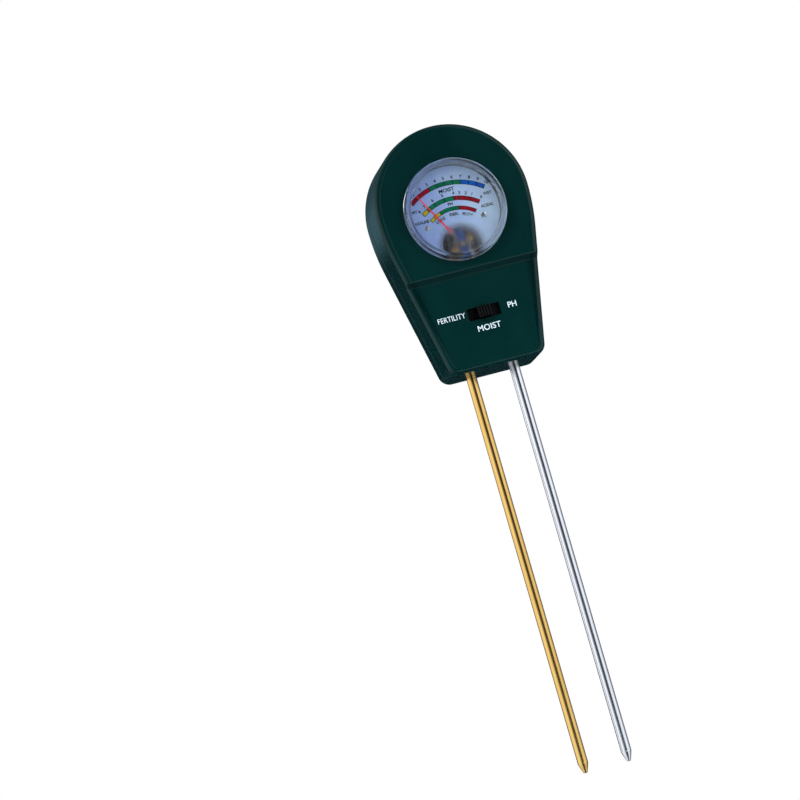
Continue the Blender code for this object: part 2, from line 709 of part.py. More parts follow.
def hairspring(name, middle, parent):
    """A flat spiral strip round the pivot, drawn as its outer side and then its inner side."""
    turns = 2.5
    steps = 26
    start = 1.1 * MM
    growth = 0.7 * MM
    thick = 0.14 * MM
    outline = []
    for side in (1, -1):
        order = range(steps + 1) if side == 1 else range(steps, -1, -1)
        for step in order:
            angle = math.tau * turns * step / steps
            radius = start + growth * angle / math.tau + side * thick / 2
            outline.append((radius * math.cos(angle), radius * math.sin(angle)))
    strip = strip_prism(outline, middle - 0.15 * MM, middle + 0.15 * MM)
    part(name, strip, BRASS, parent, (0, 0, PIVOT_HEIGHT))


def strip_prism(outline, front, back):
    """A strip whose outline goes out along one side and back along the other, extruded along y."""
    shape = bmesh.new()
    half = len(outline) // 2
    near = [shape.verts.new((x, front, z)) for x, z in outline]
    far = [shape.verts.new((x, back, z)) for x, z in outline]
    for step in range(half - 1):
        across = 2 * half - 1 - step
        shape.faces.new((near[step], near[step + 1], near[across - 1], near[across]))
        shape.faces.new((far[step], far[step + 1], far[across - 1], far[across]))
    for step in range(2 * half):
        after = (step + 1) % (2 * half)
        shape.faces.new((near[step], near[after], far[after], far[step]))
    return to_mesh(shape)


# ---------------------------------------------------------------- movement: parts that turn with the needle

def loop_frame(reach_in, reach_out, depth_in, depth_out, half_width):
    """A rectangular loop about the coil's middle, open along z."""
    shape = bmesh.new()
    rings = []
    for reach, depth in ((reach_out, depth_out), (reach_in, depth_in)):
        for z in (-half_width, half_width):
            corners = ((-reach, -depth), (reach, -depth), (reach, depth), (-reach, depth))
            rings.append([shape.verts.new((x, y, z)) for x, y in corners])
    for first, second in ((0, 1), (1, 3), (3, 2), (2, 0)):
        for step in range(4):
            after = (step + 1) % 4
            near = rings[first]
            far = rings[second]
            shape.faces.new((near[step], near[after], far[after], far[step]))
    return to_mesh(shape)


def coil_and_bobbin(axis):
    middle = (0, COIL_MIDDLE, 0)
    bobbin = loop_frame(BOBBIN_REACH_IN, BOBBIN_REACH_OUT, BOBBIN_DEPTH_IN, BOBBIN_DEPTH_OUT, COIL_WIDTH / 2)
    part("coil_bobbin", bobbin, ALUMINIUM, axis, middle)
    coil = loop_frame(COIL_REACH_IN, COIL_REACH_OUT, COIL_DEPTH_IN, COIL_DEPTH_OUT, COIL_WIDTH / 2 - 0.3 * MM)
    winding = part("moving_coil", coil, COPPER, axis, middle)
    bevel(winding, 0.2 * MM, 1)


def pivot_pin(name, foot, tip, axis):
    """A steel pin from the coil to its jewel, with a flanged foot and a pointed tip."""
    way = 1 if tip > foot else -1
    profile = [
        (0, tip),
        (0.3 * MM, tip - way * 0.45 * MM),
        (0.3 * MM, foot + way * 0.3 * MM),
        (0.7 * MM, foot + way * 0.3 * MM),
        (0.7 * MM, foot),
        (0, foot),
    ]
    part(name, turned(profile, 12), STEEL, axis)


def pointer(axis):
    """The needle, its hub ring, two side arms for the balance weights and a paddle tail, in one pressing."""
    base_half = 0.45 * MM
    tip_half = 0.22 * MM
    arm_half = 0.25 * MM
    arm = 4.9 * MM
    tail = 6.2 * MM
    tail_half = 1.2 * MM
    outline = [
        (arm_half * 2, -arm_half),
        (arm, -arm_half),
        (arm, arm_half),
        (base_half * 2, arm_half),
        (base_half, 2.2 * MM),
        (tip_half, NEEDLE_LENGTH),
    ]
    mirrored = [(-x, z) for x, z in reversed(outline)]
    foot = [(-arm_half, -1.5 * MM), (-tail_half, -3 * MM), (-tail_half, -tail)]
    foot += [(tail_half, -tail), (tail_half, -3 * MM), (arm_half, -1.5 * MM)]
    needle = part("pointer", prism(outline + mirrored + foot, NEEDLE_FRONT, NEEDLE_BACK), RED, axis)
    combine(needle, disc(1.2 * MM, NEEDLE_FRONT, NEEDLE_BACK, 20), "UNION")
    combine(needle, disc(0.6 * MM, NEEDLE_FRONT - WALL, NEEDLE_BACK + WALL, 12), "DIFFERENCE")


def balance_weights(axis):
    """A sleeve on each side arm and a plate behind the tail, which balance the needle about its pivot."""
    for name, side in (("left", -1), ("right", 1)):
        profile = [(0.9 * MM, 0), (0.9 * MM, 1.1 * MM), (0.65 * MM, 1.1 * MM), (0.65 * MM, 0)]
        sleeve = turned(profile, 12, closed=True)
        middle = (side * 3.2 * MM, (NEEDLE_FRONT + NEEDLE_BACK) / 2, 0)
        part("balance_weight_" + name, sleeve, BRASS, axis, middle, (0, 0, -side * math.pi / 2))
    depth = (NEEDLE_BACK + GAP, NEEDLE_BACK + 0.8 * MM)
    part("balance_weight_tail", box((-1.3 * MM, 1.3 * MM), depth, (-6.2 * MM, -3.3 * MM)), BRASS, axis)


# ---------------------------------------------------------------- slide switch

def switch_knob(slider):
    """The finger piece with its ribs, the skirt that hides the slot and the stem that drives the slider."""
    body = slab(KNOB_LENGTH / 2, (KNOB_FRONT + 0.7 * MM, PANEL_INNER + 0.6 * MM), KNOB_WIDTH / 2)
    knob = part("switch_knob", body, BLACK, slider)
    ribs = []
    pitch = KNOB_LENGTH / KNOB_RIBS
    rib_half = pitch * 0.27
    rib_depth = (KNOB_FRONT, KNOB_FRONT + 1 * MM)
    rib_reach = KNOB_WIDTH / 2 - 0.2 * MM
    for step in range(KNOB_RIBS):
        middle = (step - (KNOB_RIBS - 1) / 2) * pitch
        ribs.append(box((middle - rib_half, middle + rib_half), rib_depth, (-rib_reach, rib_reach)))
    combine(knob, merged(*ribs), "UNION")
    combine(knob, slab(SKIRT_REACH, (PANEL_INNER + GAP, FRAME_FRONT - GAP), SKIRT_RISE), "UNION")
    combine(knob, slab(STEM_REACH, STEM_DEPTH, STEM_RISE), "UNION")


def switch_slider(slider):
    outside = slab(SLIDER_REACH, (FRAME_BACK + GAP, SLIDER_BACK), SLIDER_RISE)
    block = part("switch_slider", outside, BLACK, slider)
    combine(block, slab(2.2 * MM, (-14 * MM, -11.4 * MM), 1.2 * MM), "DIFFERENCE")


def sliding_contact(slider):
    """The brass bridge strip that joins two neighbouring contacts."""
    outline = [
        (-CONTACT_REACH, CONTACT_FRONT),
        (CONTACT_REACH, CONTACT_FRONT),
        (CONTACT_REACH, CONTACT_BACK),
        (-CONTACT_REACH, CONTACT_BACK),
    ]
    part("sliding_contact", level_prism(outline, CONTACT_RISE), BRASS, slider)


def switch_frame(switch):
    """The steel channel of the switch with an ear at each end."""
    plate = (FRAME_FRONT, FRAME_BACK)
    frame = part("switch_frame", slab(16.6 * MM, plate, 2.6 * MM), STEEL, switch)
    combine(frame, slab(CHANNEL_REACH, plate, CHANNEL_RISE), "UNION")
    across = (-CHANNEL_REACH, CHANNEL_REACH)
    depth = (FRAME_FRONT + FRAME_THICKNESS * 0.4, CHANNEL_BACK)
    flanges = [box(across, depth, (CHANNEL_RISE - FRAME_THICKNESS, CHANNEL_RISE))]
    flanges.append(box(across, depth, (-CHANNEL_RISE, FRAME_THICKNESS - CHANNEL_RISE)))
    combine(frame, merged(*flanges), "UNION")
    cuts = [slab(STEM_REACH + SWITCH_TRAVEL + GAP, (-15 * MM, -12 * MM), STEM_RISE + 0.35 * MM)]
    cuts += [disc(SWITCH_BORE, -15 * MM, -12 * MM, 12, side * SWITCH_SCREW_X) for side in (-1, 1)]
    combine(frame, merged(*cuts), "DIFFERENCE")


def terminal_places():
    return [(step - 1.5) * TERMINAL_PITCH for step in range(4)]


def switch_base(switch):
    base = part("switch_base", slab(10.6 * MM, (-9.2 * MM, -8 * MM), 3.7 * MM), BOARD, switch)
    holes = [disc(0.8 * MM, -11 * MM, -6 * MM, 12, x) for x in terminal_places()]
    combine(base, merged(*holes), "DIFFERENCE")


def switch_terminals(switch):
    """Rivet-like pins: the heads are the switch's contacts and the shanks pass through the circuit board."""
    for step, x in enumerate(terminal_places()):
        profile = [
            (0, -9.8 * MM),
            (1.1 * MM, -9.8 * MM),
            (1.1 * MM, -9.5 * MM),
            (0.45 * MM, -9.5 * MM),
            (0.45 * MM, -4 * MM),
            (0, -4 * MM),
        ]
        part("switch_terminal_%d" % (step + 1), turned(profile, 12), BRASS, switch, (x, 0, 0))


def switch_screws(parent):
    for name, side in (("left", -1), ("right", 1)):
        place = (side * SWITCH_SCREW_X, SWITCH_HEIGHT)
        sizes = (1.5 * MM, 0.6 * MM, 0.9 * MM)
        screw("switch_screw_" + name, sizes, place, FRAME_BACK + GAP, 2.8 * MM, parent)


# ---------------------------------------------------------------- circuit board

def circuit_board(parent):
    middle = (BOARD_LOW + BOARD_HIGH) / 2
    half = (BOARD_HIGH - BOARD_LOW) / 2
    depth = (BOARD_FRONT, BOARD_BACK)
    board = part("circuit_board", slab(BOARD_LENGTH / 2, depth, half), BOARD, parent, (0, 0, middle))
    holes = [disc(0.8 * MM, -8 * MM, -3 * MM, 12, x, SWITCH_HEIGHT - middle) for x in terminal_places()]
    combine(board, merged(*holes), "DIFFERENCE")


def resistors(parent):
    """Three axial resistors behind the board, each with its bent legs in one solid."""
    heights = (19.9 * MM, 26.1 * MM, 29.7 * MM)
    thin = (-0.2 * MM, 0.2 * MM)
    thick = 0.25 * MM
    leg_x = 4.2 * MM
    for step, height in enumerate(heights):
        body = part("resistor_%d" % (step + 1), resistor_body(), RESISTOR, parent, (0, -3.2 * MM, height))
        ends = [box(reach, thin, thin) for reach in ((2 * MM, 4.3 * MM), (-4.3 * MM, -2 * MM))]
        combine(body, merged(*ends), "UNION")
        down = (-1.5 * MM, 0.25 * MM)
        legs = [box((x - thick, x + thick), down, (-thick, thick)) for x in (-leg_x, leg_x)]
        combine(body, merged(*legs), "UNION")


def resistor_body():
    profile = [(0, -2.8 * MM), (0.9 * MM, -2.8 * MM), (1.1 * MM, -2.4 * MM), (1.1 * MM, -1.6 * MM)]
    profile += [(0.9 * MM, -1.2 * MM), (0.9 * MM, 1.2 * MM), (1.1 * MM, 1.6 * MM), (1.1 * MM, 2.4 * MM)]
    profile += [(0.9 * MM, 2.8 * MM), (0, 2.8 * MM)]
    return moved(turned(profile, 12), Matrix.Rotation(math.pi / 2, 4, "Z"))


# ---------------------------------------------------------------- probes

def probe(name, side, look, parent):
    profile = [
        (0, -PROBE_OUTSIDE),
        (PROBE_TIP_RADIUS, -PROBE_OUTSIDE),
        (PROBE_RADIUS, -PROBE_OUTSIDE + PROBE_CONE),
        (PROBE_RADIUS, PROBE_INSIDE - 0.4 * MM),
        (PROBE_RADIUS - 0.4 * MM, PROBE_INSIDE),
        (0, PROBE_INSIDE),
    ]
    upright = moved(turned(profile, 24), Matrix.Rotation(math.pi / 2, 4, "X"))
    part(name, upright, look, parent, (side * PROBE_X, 0, 0))


def probe_clamp(parent):
    """A bar with two half-round seats that holds the probes against the front cover's ribs."""
    bar = box((-CLAMP_REACH, CLAMP_REACH), (GAP, 4.6 * MM), (CLAMP_LOW, CLAMP_HIGH))
    clamp = part("probe_clamp", bar, BLACK, parent)
    combine(clamp, probe_channels(CLAMP_LOW - WALL, CLAMP_HIGH + WALL), "DIFFERENCE")
    holes = [disc(CLAMP_BORE, -WALL, 7 * MM, 12, side * CLAMP_SCREW_X, CLAMP_MIDDLE) for side in (-1, 1)]
    combine(clamp, merged(*holes), "DIFFERENCE")
    for name, side in (("left", -1), ("right", 1)):
        place = (side * CLAMP_SCREW_X, CLAMP_MIDDLE)
        screw("probe_clamp_screw_" + name, (1.8 * MM, 0.8 * MM, 1.2 * MM), place, 4.9 * MM, 11 * MM, parent)


def probe_terminal(name, side, parent):
    """A ring tag round the probe's inner end with a solder tab towards the middle of the head."""
    outer = 3.3 * MM
    ring = part(name, post(outer, -0.4 * MM, 0.4 * MM, 20), BRASS, parent, (side * PROBE_X, 0, TAG_HEIGHT))
    ends = sorted((-side * (outer - 0.4 * MM), -side * (outer + 2.2 * MM)))
    combine(ring, box(ends, (-0.8 * MM, 0.8 * MM), (-0.4 * MM, 0.4 * MM)), "UNION")
    combine(ring, post(PROBE_SEAT, -WALL, WALL, 20), "DIFFERENCE")


def meter_terminals(parent):
    for name, side in (("left", -1), ("right", 1)):
        pin = turned([(0, -8.5 * MM), (0.45 * MM, -8.5 * MM), (0.45 * MM, -3.4 * MM), (0, -3.4 * MM)], 12)
        place = (side * METER_PIN_X, 0, METER_PIN_HEIGHT)
        part("meter_terminal_" + name, pin, BRASS, parent, place)


def leads(parent):
    """Two leads from the probes' tags and two from the meter's pins, all ending behind the circuit board."""
    radius = 0.4 * MM
    for name, side, look in (("silver_probe_lead", 1, BLACK_WIRE), ("gold_probe_lead", -1, RED_WIRE)):
        tag = (side * 5 * MM, 0, TAG_HEIGHT + 0.4 * MM + GAP)
        rise = (side * 5 * MM, 0, 34 * MM)
        over = (side * 10.5 * MM, 0.5 * MM, 29.5 * MM)
        board = (side * 10.5 * MM, BOARD_BACK + GAP, 29.5 * MM)
        tube(name, smooth_route((tag, rise, over, board)), radius, look, parent)
    for name, side, look in (("meter_lead_left", -1, RED_WIRE), ("meter_lead_right", 1, BLACK_WIRE)):
        pin = (side * METER_PIN_X, -3.4 * MM + GAP, METER_PIN_HEIGHT)
        hang = (side * METER_PIN_X, 2 * MM, METER_PIN_HEIGHT)
        low = (side * 13 * MM, 2 * MM, 28 * MM)
        board = (side * 13 * MM, BOARD_BACK + GAP, 28 * MM)
        tube(name, smooth_route((pin, hang, low, board)), radius, look, parent)


# ---------------------------------------------------------------- assembly

def build_case(head):
    front_cover(head)
    rear_cover(head)
    cover_screws(head)
    lens(head)
    dial_plate(head)
    dial_screws(head)


def build_movement(head):
    meter_base(head)
    meter_screws(head)
    ring_magnet(head)
    iron_core(head)
    front_bridge(head)
    rear_bridge(head)
    bridge_screws(head)
    jewel_screw("front_jewel_screw", -14.55 * MM, -1, head)
    jewel_screw("rear_jewel_screw", -0.4 * MM, 1, head)
    axis = empty("needle_axis", (0, 0, PIVOT_HEIGHT), head)
    axis.rotation_euler = (0, NEEDLE_ANGLE, 0)
    coil_and_bobbin(axis)
    pivot_pin("front_pivot", COIL_MIDDLE - COIL_DEPTH_OUT - GAP, -14.4 * MM, axis)
    pivot_pin("rear_pivot", COIL_MIDDLE + COIL_DEPTH_OUT + GAP, -0.55 * MM, axis)
    pointer(axis)
    balance_weights(axis)
    hairspring("front_hairspring", -13.15 * MM, head)
    hairspring("rear_hairspring", -1.8 * MM, head)


def build_switch(head):
    switch = empty("switch", (0, 0, SWITCH_HEIGHT), head)
    slider = empty("switch_travel", (0, 0, 0), switch)
    switch_knob(slider)
    switch_slider(slider)
    sliding_contact(slider)
    switch_frame(switch)
    switch_base(switch)
    switch_terminals(switch)
    switch_screws(head)
    circuit_board(head)
    resistors(head)


def build_probes(head):
    probe("gold_probe", -1, GOLD, head)
    probe("silver_probe", 1, SILVER, head)
    probe_clamp(head)
    probe_terminal("gold_probe_terminal", -1, head)
    probe_terminal("silver_probe_terminal", 1, head)
    meter_terminals(head)
    leads(head)


def main():
    clear_scene()
    head = empty("head", (0, 0, SOIL_TO_HEAD))
    build_case(head)
    build_movement(head)
    build_switch(head)
    build_probes(head)


main()
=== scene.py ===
"""The soil meter's visible surfaces: case, lens, printed dial, needle, knob, screws and probes."""
import json
import math

import bmesh
import bpy
from mathutils import Matrix, Vector, geometry


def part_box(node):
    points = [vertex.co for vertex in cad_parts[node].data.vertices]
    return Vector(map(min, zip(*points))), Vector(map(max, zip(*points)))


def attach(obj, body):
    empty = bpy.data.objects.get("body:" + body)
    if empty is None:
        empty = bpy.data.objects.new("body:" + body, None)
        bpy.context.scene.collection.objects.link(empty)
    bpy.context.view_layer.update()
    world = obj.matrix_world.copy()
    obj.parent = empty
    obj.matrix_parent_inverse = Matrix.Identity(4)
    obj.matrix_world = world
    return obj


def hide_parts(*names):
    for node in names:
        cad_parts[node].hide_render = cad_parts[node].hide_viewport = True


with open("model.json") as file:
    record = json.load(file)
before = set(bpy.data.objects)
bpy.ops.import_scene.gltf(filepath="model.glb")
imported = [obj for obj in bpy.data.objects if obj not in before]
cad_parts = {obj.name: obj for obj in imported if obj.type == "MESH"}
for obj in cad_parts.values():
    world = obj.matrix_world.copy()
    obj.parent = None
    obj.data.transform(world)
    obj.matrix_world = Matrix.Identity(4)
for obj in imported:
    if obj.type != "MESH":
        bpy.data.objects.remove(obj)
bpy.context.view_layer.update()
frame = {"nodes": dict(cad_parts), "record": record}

MM = 0.001

# Head, as in the CAD: heights from its lower end, depths from the parting plane
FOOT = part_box("front_cover")[0][2]
HEAD_HEIGHT = 106.0
TOP_RADIUS = 33.7
TOP_CENTRE = HEAD_HEIGHT - TOP_RADIUS
FLANK_RADIUS = 95.0
FLANK_ANGLE = math.radians(11.5)
CORNER_RADIUS = 5.0
WALL = 2.0
PANEL_FRONT = -16.8
RAISED_FRONT = -18.9
BACK = 9.0
STEP_LOW = 40.2
STEP_HIGH = 42.6
STEP_ROUND_LOW = 0.15
STEP_ROUND_HIGH = 0.55
# Heights of the edges that cross the face through the step
STEP_LEVELS = [STEP_LOW - 0.6 + 0.3 * step for step in range(14)]
FILLET = 2.0
REAR_FILLET = 1.5
INNER_CHAMFER = 0.8
BORDER = 0.25
BORDER_DEPTH = 0.06
# The shallow step inside the face's border: distance in, and share of the depth
BORDER_STEP = ((0.0, 0.0), (0.15, 0.15), (0.45, 0.85), (0.6, 1.0))
SEAM = 0.18
SEAM_CHAMFER = 0.3
LIP = (2.3, 3.3)
LIP_ROOT = 2.0
LIP_REACH = 1.8
LENS_HEIGHT = 68.5
LENS_RADIUS = 21.9
LENS_BORE = 19.6
LENS_FRONT = RAISED_FRONT - 3.0
LENS_DOME = 0.4
LENS_WALL = 1.2
LENS_RIM = 0.9
LENS_INNER_ROUND = 0.5
LENS_FLANGE = 24.0
LENS_GAP = 0.3
WINDOW_RADIUS = 22.2
# Rounded edge of the window and the slot, and its middle point
HOLE_ROUND = 0.3
HOLE_ROUND_MIDDLE = 0.09
SLOT_HEIGHT = 23.3
SLOT_HALF = 7.25
SLOT_RISE = 2.65
SLOT_CORNER = 0.35
COVER_SCREWS = {"top": (0.0, 99.2), "left": (-16.0, 6.8), "right": (16.0, 6.8)}
# Case screw holes: sink for the head, hole for the shaft, and boss round it
SINK_FLOOR = 5.0
SINK_RADIUS = 2.6
SHAFT_HOLE = 1.4
BOSS_RADIUS = 3.4
BOSS_END = 0.5

# Dial
DIAL_FRONT = -11.6
DIAL_THICKNESS = 0.5
DIAL_RADIUS = 22.6
DIAL_OPENING = 8.2
DIAL_SLOT = 2.8
DIAL_SCREWS = {"left": -12.65, "right": 12.65}
DIAL_SCREW_HEIGHT = 64.4
DIAL_SCREW_HOLE = 0.8
PIVOT = 54.0
INK = 0.03
# Cells: black rim, half gap between colours, and facet in degrees
CELL_RIM = 0.13
CELL_GAP = 0.2
CELL_FACET = 1.5

# Scales: outer and inner radius, then each cell's colour, start and end in degrees right of upright
SCALES = (
    (28.35, 26.6, [
        ("red", -36.4, -29.1), ("red", -29.1, -21.8), ("red", -21.8, -14.6), ("green", -14.6, -7.3),
        ("green", -7.3, 0.0), ("green", 0.0, 7.3), ("green", 7.3, 14.6), ("blue", 14.6, 21.8),
        ("blue", 21.8, 29.1), ("blue", 29.1, 36.4),
    ]),
    (21.4, 19.7, [
        ("yellow", -37.2, -29.3), ("green", -29.3, -18.0), ("green", -18.0, -5.7), ("green", -5.7, 6.3),
        ("red", 6.3, 12.8), ("red", 12.8, 19.8), ("red", 19.8, 26.3), ("red", 26.3, 37.3),
    ]),
    (17.0, 15.5, [
        ("yellow", -37.6, -29.5), ("yellow", -29.5, -18.7), ("green", -18.7, 11.8), ("red", 11.8, 37.6),
    ]),
)
# Numerals above the outer and the middle scale: text and angle
OUTER_NUMERALS = [(str(number), -36.4 + 7.28 * number) for number in range(1, 11)]
OUTER_NUMERAL_RADIUS = 29.75
MIDDLE_NUMERALS = list(zip("876543210", (-37.0, -29.3, -18.0, -6.0, 6.4, 13.0, 20.0, 26.8, 37.2)))
MIDDLE_NUMERAL_RADIUS = 22.75
# Upright words: text, height, middle (x, z), boldness and width
DIAL_WORDS = (
    ("MOIST", 1.55, 0.0, 78.5, 0.06, 1.06),
    ("PH", 1.3, 0.0, 72.3, 0.07, 1.0),
    ("DRY", 1.3, -16.4, 72.5, 0.05, 0.9),
    ("WET", 1.3, 16.9, 73.1, 0.05, 0.95),
    ("ALKALINE", 1.25, -14.3, 67.4, 0.06, 0.85),
    ("ACIDIC", 1.25, 15.4, 68.1, 0.05, 0.95),
)
PANEL_WORDS = (
    ("FERTILITY", 2.3, -14.4, 23.6, 0.0, 0.86),
    ("PH", 2.5, 12.6, 23.4, 0.02, 0.95),
    ("MOIST", 2.5, 0.4, 16.5, 0.02, 1.0),
)
# Words that follow the inner scale: text and angle
INNER_WORDS = (("LITTLE", -25.5), ("IDEAL", 1.5), ("MUCH", 26.0))
INNER_WORD_RADIUS = 13.75

# Switch knob: heights from the middle of the slot
KNOB_HALF = 3.0
KNOB_RISE = 2.35
KNOB_FRONT = -19.2
KNOB_ROOT = -14.0
KNOB_RIBS = 5
KNOB_SHOULDER = 0.9
RIB_RISE = 0.45
RIB_VALLEY = 0.75
RIB_SHARE = 0.40
KNOB_ROUND = 0.22
# Half width, front, back and half height
KNOB_SKIRT = (7.8, -14.5, -13.8, 3.2)
KNOB_STEM = (1.9, -14.1, -11.8, 0.9)

# Screws: seat under the head, head height and radius, shaft radius and length
CASE_SCREW = (5.3, 1.4, 2.2, 1.0, 12.0)
DIAL_SCREW = (-11.9, 0.65, 1.1, 0.55, 2.2)

# Needle and probes
NEEDLE_ANGLE = math.radians(-28.8)
NEEDLE_FRONT = -13.9
NEEDLE_BACK = -13.6
NEEDLE_LENGTH = 28.2
PROBE_X = 9.65
PROBE_RADIUS = 2.25
PROBE_TOP = 25.0
PROBE_TIP = -174.5
PROBE_CONE = 4.2
PROBE_TIP_RADIUS = 0.9
PROBE_TIP_ROUND = 0.3
PROBE_CHAMFER = 0.4
# The channels for the probes through the head's lower wall
CHANNEL_RADIUS = 2.45
CHANNEL_ENDS = (-3, 8)

scene = bpy.context.scene
scene.view_settings.view_transform = "Standard"


# ---------------------------------------------------------------- materials

def nodes_of(name):
    """A new material's parts: itself, its tree, its shader and the object's coordinates in millimetres."""
    mat = bpy.data.materials.new(name)
    mat.use_nodes = True
    tree = mat.node_tree
    shader = tree.nodes["Principled BSDF"]
    coords = tree.nodes.new("ShaderNodeTexCoord")
    scale = tree.nodes.new("ShaderNodeMapping")
    scale.inputs["Scale"].default_value = (1000, 1000, 1000)
    tree.links.new(coords.outputs["Object"], scale.inputs["Vector"])
    return mat, tree, shader, scale.outputs["Vector"]


def noise(tree, vector, size, detail=3.0, stretch=(1, 1, 1), rough=0.55):
    """Noise whose features are about `size` millimetres across."""
    mapping = tree.nodes.new("ShaderNodeMapping")
    mapping.inputs["Scale"].default_value = [value / size for value in stretch]
    tree.links.new(vector, mapping.inputs["Vector"])
    texture = tree.nodes.new("ShaderNodeTexNoise")
    texture.inputs["Scale"].default_value = 1.0
    texture.inputs["Detail"].default_value = detail
    texture.inputs["Roughness"].default_value = rough
    tree.links.new(mapping.outputs["Vector"], texture.inputs["Vector"])
    return texture.outputs["Fac"]


def combine(tree, operation, *values):
    """A math node. Plain numbers go straight into its sockets."""
    node = tree.nodes.new("ShaderNodeMath")
    node.operation = operation
    for socket, value in zip(node.inputs, values):
        if isinstance(value, (int, float)):
            socket.default_value = value
        else:
            tree.links.new(value, socket)
    return node.outputs[0]


def along(tree, vector, axis):
    """One component of a vector."""
    axes = tree.nodes.new("ShaderNodeSeparateXYZ")
    tree.links.new(vector, axes.inputs[0])
    return axes.outputs[axis]


def from_pivot(tree, vector):
    """Distance from the needle's axis, in millimetres."""
    flat = tree.nodes.new("ShaderNodeVectorMath")
    flat.operation = "MULTIPLY"
    flat.inputs[1].default_value = (1, 0, 1)
    tree.links.new(vector, flat.inputs[0])
    away = tree.nodes.new("ShaderNodeVectorMath")
    away.operation = "DISTANCE"
    away.inputs[1].default_value = (0, 0, FOOT / MM + PIVOT)
    tree.links.new(flat.outputs["Vector"], away.inputs[0])
    return away.outputs["Value"]


def spread(tree, value, low, high, start=0.3, end=0.7):
    """The value's range from start to end, stretched over low to high and held there."""
    ranged = tree.nodes.new("ShaderNodeMapRange")
    ranged.inputs["From Min"].default_value = start
    ranged.inputs["From Max"].default_value = end
    ranged.inputs["To Min"].default_value = low
    ranged.inputs["To Max"].default_value = high
    tree.links.new(value, ranged.inputs["Value"])
    return ranged.outputs["Result"]


def tint(tree, value, first, second):
    """A blend from the first colour to the second. Each is fixed or linked."""
    mixer = tree.nodes.new("ShaderNodeMix")
    mixer.data_type = "RGBA"
    for name, colour in (("A", first), ("B", second)):
        if isinstance(colour, tuple):
            mixer.inputs[name].default_value = (*colour, 1)
        else:
            tree.links.new(colour, mixer.inputs[name])
    tree.links.new(value, mixer.inputs["Factor"])
    return mixer.outputs["Result"]


def bumped(tree, shader, heights, strength, distance):
    """Bump from one or more height signals."""
    total = heights[0]
    for height in heights[1:]:
        total = combine(tree, "ADD", total, height)
    bump = tree.nodes.new("ShaderNodeBump")
    bump.inputs["Strength"].default_value = strength
    bump.inputs["Distance"].default_value = distance * MM
    tree.links.new(total, bump.inputs["Height"])
    tree.links.new(bump.outputs["Normal"], shader.inputs["Normal"])


def scaled(colour, factor):
    return tuple(min(1.0, channel * factor) for channel in colour)


def surface(name, colour, rough, metal=0.0, vary=0.12, patch=6.0, grain=0.35, bump=0.15, depth=0.02,
            specular=0.5, stretch=(1, 1, 1)):
    """A moulded, cast or painted surface: soft colour patches, uneven gloss and a fine grain."""
    mat, tree, shader, vector = nodes_of(name)
    broad = noise(tree, vector, patch, 4.0, stretch)
    fine = noise(tree, vector, grain, 2.0, stretch)
    colours = tint(tree, spread(tree, broad, 0, 1), scaled(colour, 1 - vary), scaled(colour, 1 + vary))
    tree.links.new(colours, shader.inputs["Base Color"])
    gloss = combine(
        tree, "ADD", spread(tree, broad, rough - 0.06, rough + 0.06), spread(tree, fine, -0.03, 0.03))
    tree.links.new(gloss, shader.inputs["Roughness"])
    shader.inputs["Metallic"].default_value = metal
    shader.inputs["Specular IOR Level"].default_value = specular
    bumped(tree, shader, [fine], bump, depth)
    return mat


def wound(name, colour, pitch, direction, rough, metal):
    """Parallel turns of wire."""
    mat, tree, shader, vector = nodes_of(name)
    wave = tree.nodes.new("ShaderNodeTexWave")
    wave.bands_direction = direction
    wave.inputs["Scale"].default_value = 0.314 / pitch
    wave.inputs["Distortion"].default_value = 0.4
    tree.links.new(vector, wave.inputs["Vector"])
    colours = tint(tree, wave.outputs["Fac"], scaled(colour, 0.45), scaled(colour, 1.2))
    tree.links.new(colours, shader.inputs["Base Color"])
    tree.links.new(spread(tree, wave.outputs["Fac"], rough + 0.1, rough), shader.inputs["Roughness"])
    shader.inputs["Metallic"].default_value = metal
    bumped(tree, shader, [wave.outputs["Fac"]], 0.6, 0.08)
    return mat


def drawn_rod(name, light, dark, rough):
    """Drawn metal: long streaks along the rod, fine scratches across the gloss and a little tarnish."""
    mat, tree, shader, vector = nodes_of(name)
    streaks = noise(tree, vector, 0.5, 3.0, (1, 1, 0.012))
    tarnish = noise(tree, vector, 9.0, 5.0, (1, 1, 0.5))
    rings = noise(tree, vector, 0.3, 2.0, (0.1, 0.1, 1.0))
    shade = combine(tree, "MULTIPLY", spread(tree, streaks, 0.2, 1.0), spread(tree, tarnish, 0.5, 1.0))
    tree.links.new(tint(tree, shade, dark, light), shader.inputs["Base Color"])
    tree.links.new(spread(tree, streaks, rough + 0.07, rough - 0.05), shader.inputs["Roughness"])
    shader.inputs["Metallic"].default_value = 1.0
    bumped(tree, shader, [streaks, rings], 0.03, 0.02)
    return mat


def case_plastic():
    """Dark green moulded plastic with painted light making it a shade lighter low down: satin gloss, faint
    flow marks, fine scuffs.
    """
    mat, tree, shader, vector = nodes_of("case_green")
    flow = noise(tree, vector, 26.0, 3.0, (1, 1, 0.45))
    fine = noise(tree, vector, 0.7, 2.0)
    scuff = noise(tree, vector, 3.0, 3.0, (1, 1, 0.25))
    foot = FOOT / MM
    # Painted light: the green gets lighter towards the bottom, standing in for the light that falls on the
    # lower panel.
    lower = spread(tree, along(tree, vector, "Z"), 0.45, 0.0, foot + 10, foot + 65)
    shade = combine(tree, "ADD", spread(tree, flow, 0.0, 0.55), lower)
    colours = tint(tree, shade, (0.0002, 0.0120, 0.0120), (0.0006, 0.0190, 0.0188))
    tree.links.new(colours, shader.inputs["Base Color"])
    gloss = combine(tree, "ADD", spread(tree, flow, 0.15, 0.18), spread(tree, scuff, 0.0, 0.02, 0.5, 0.8))
    tree.links.new(gloss, shader.inputs["Roughness"])
    shader.inputs["Specular IOR Level"].default_value = 0.26
    bumped(tree, shader, [fine], 0.01, 0.01)
    return mat


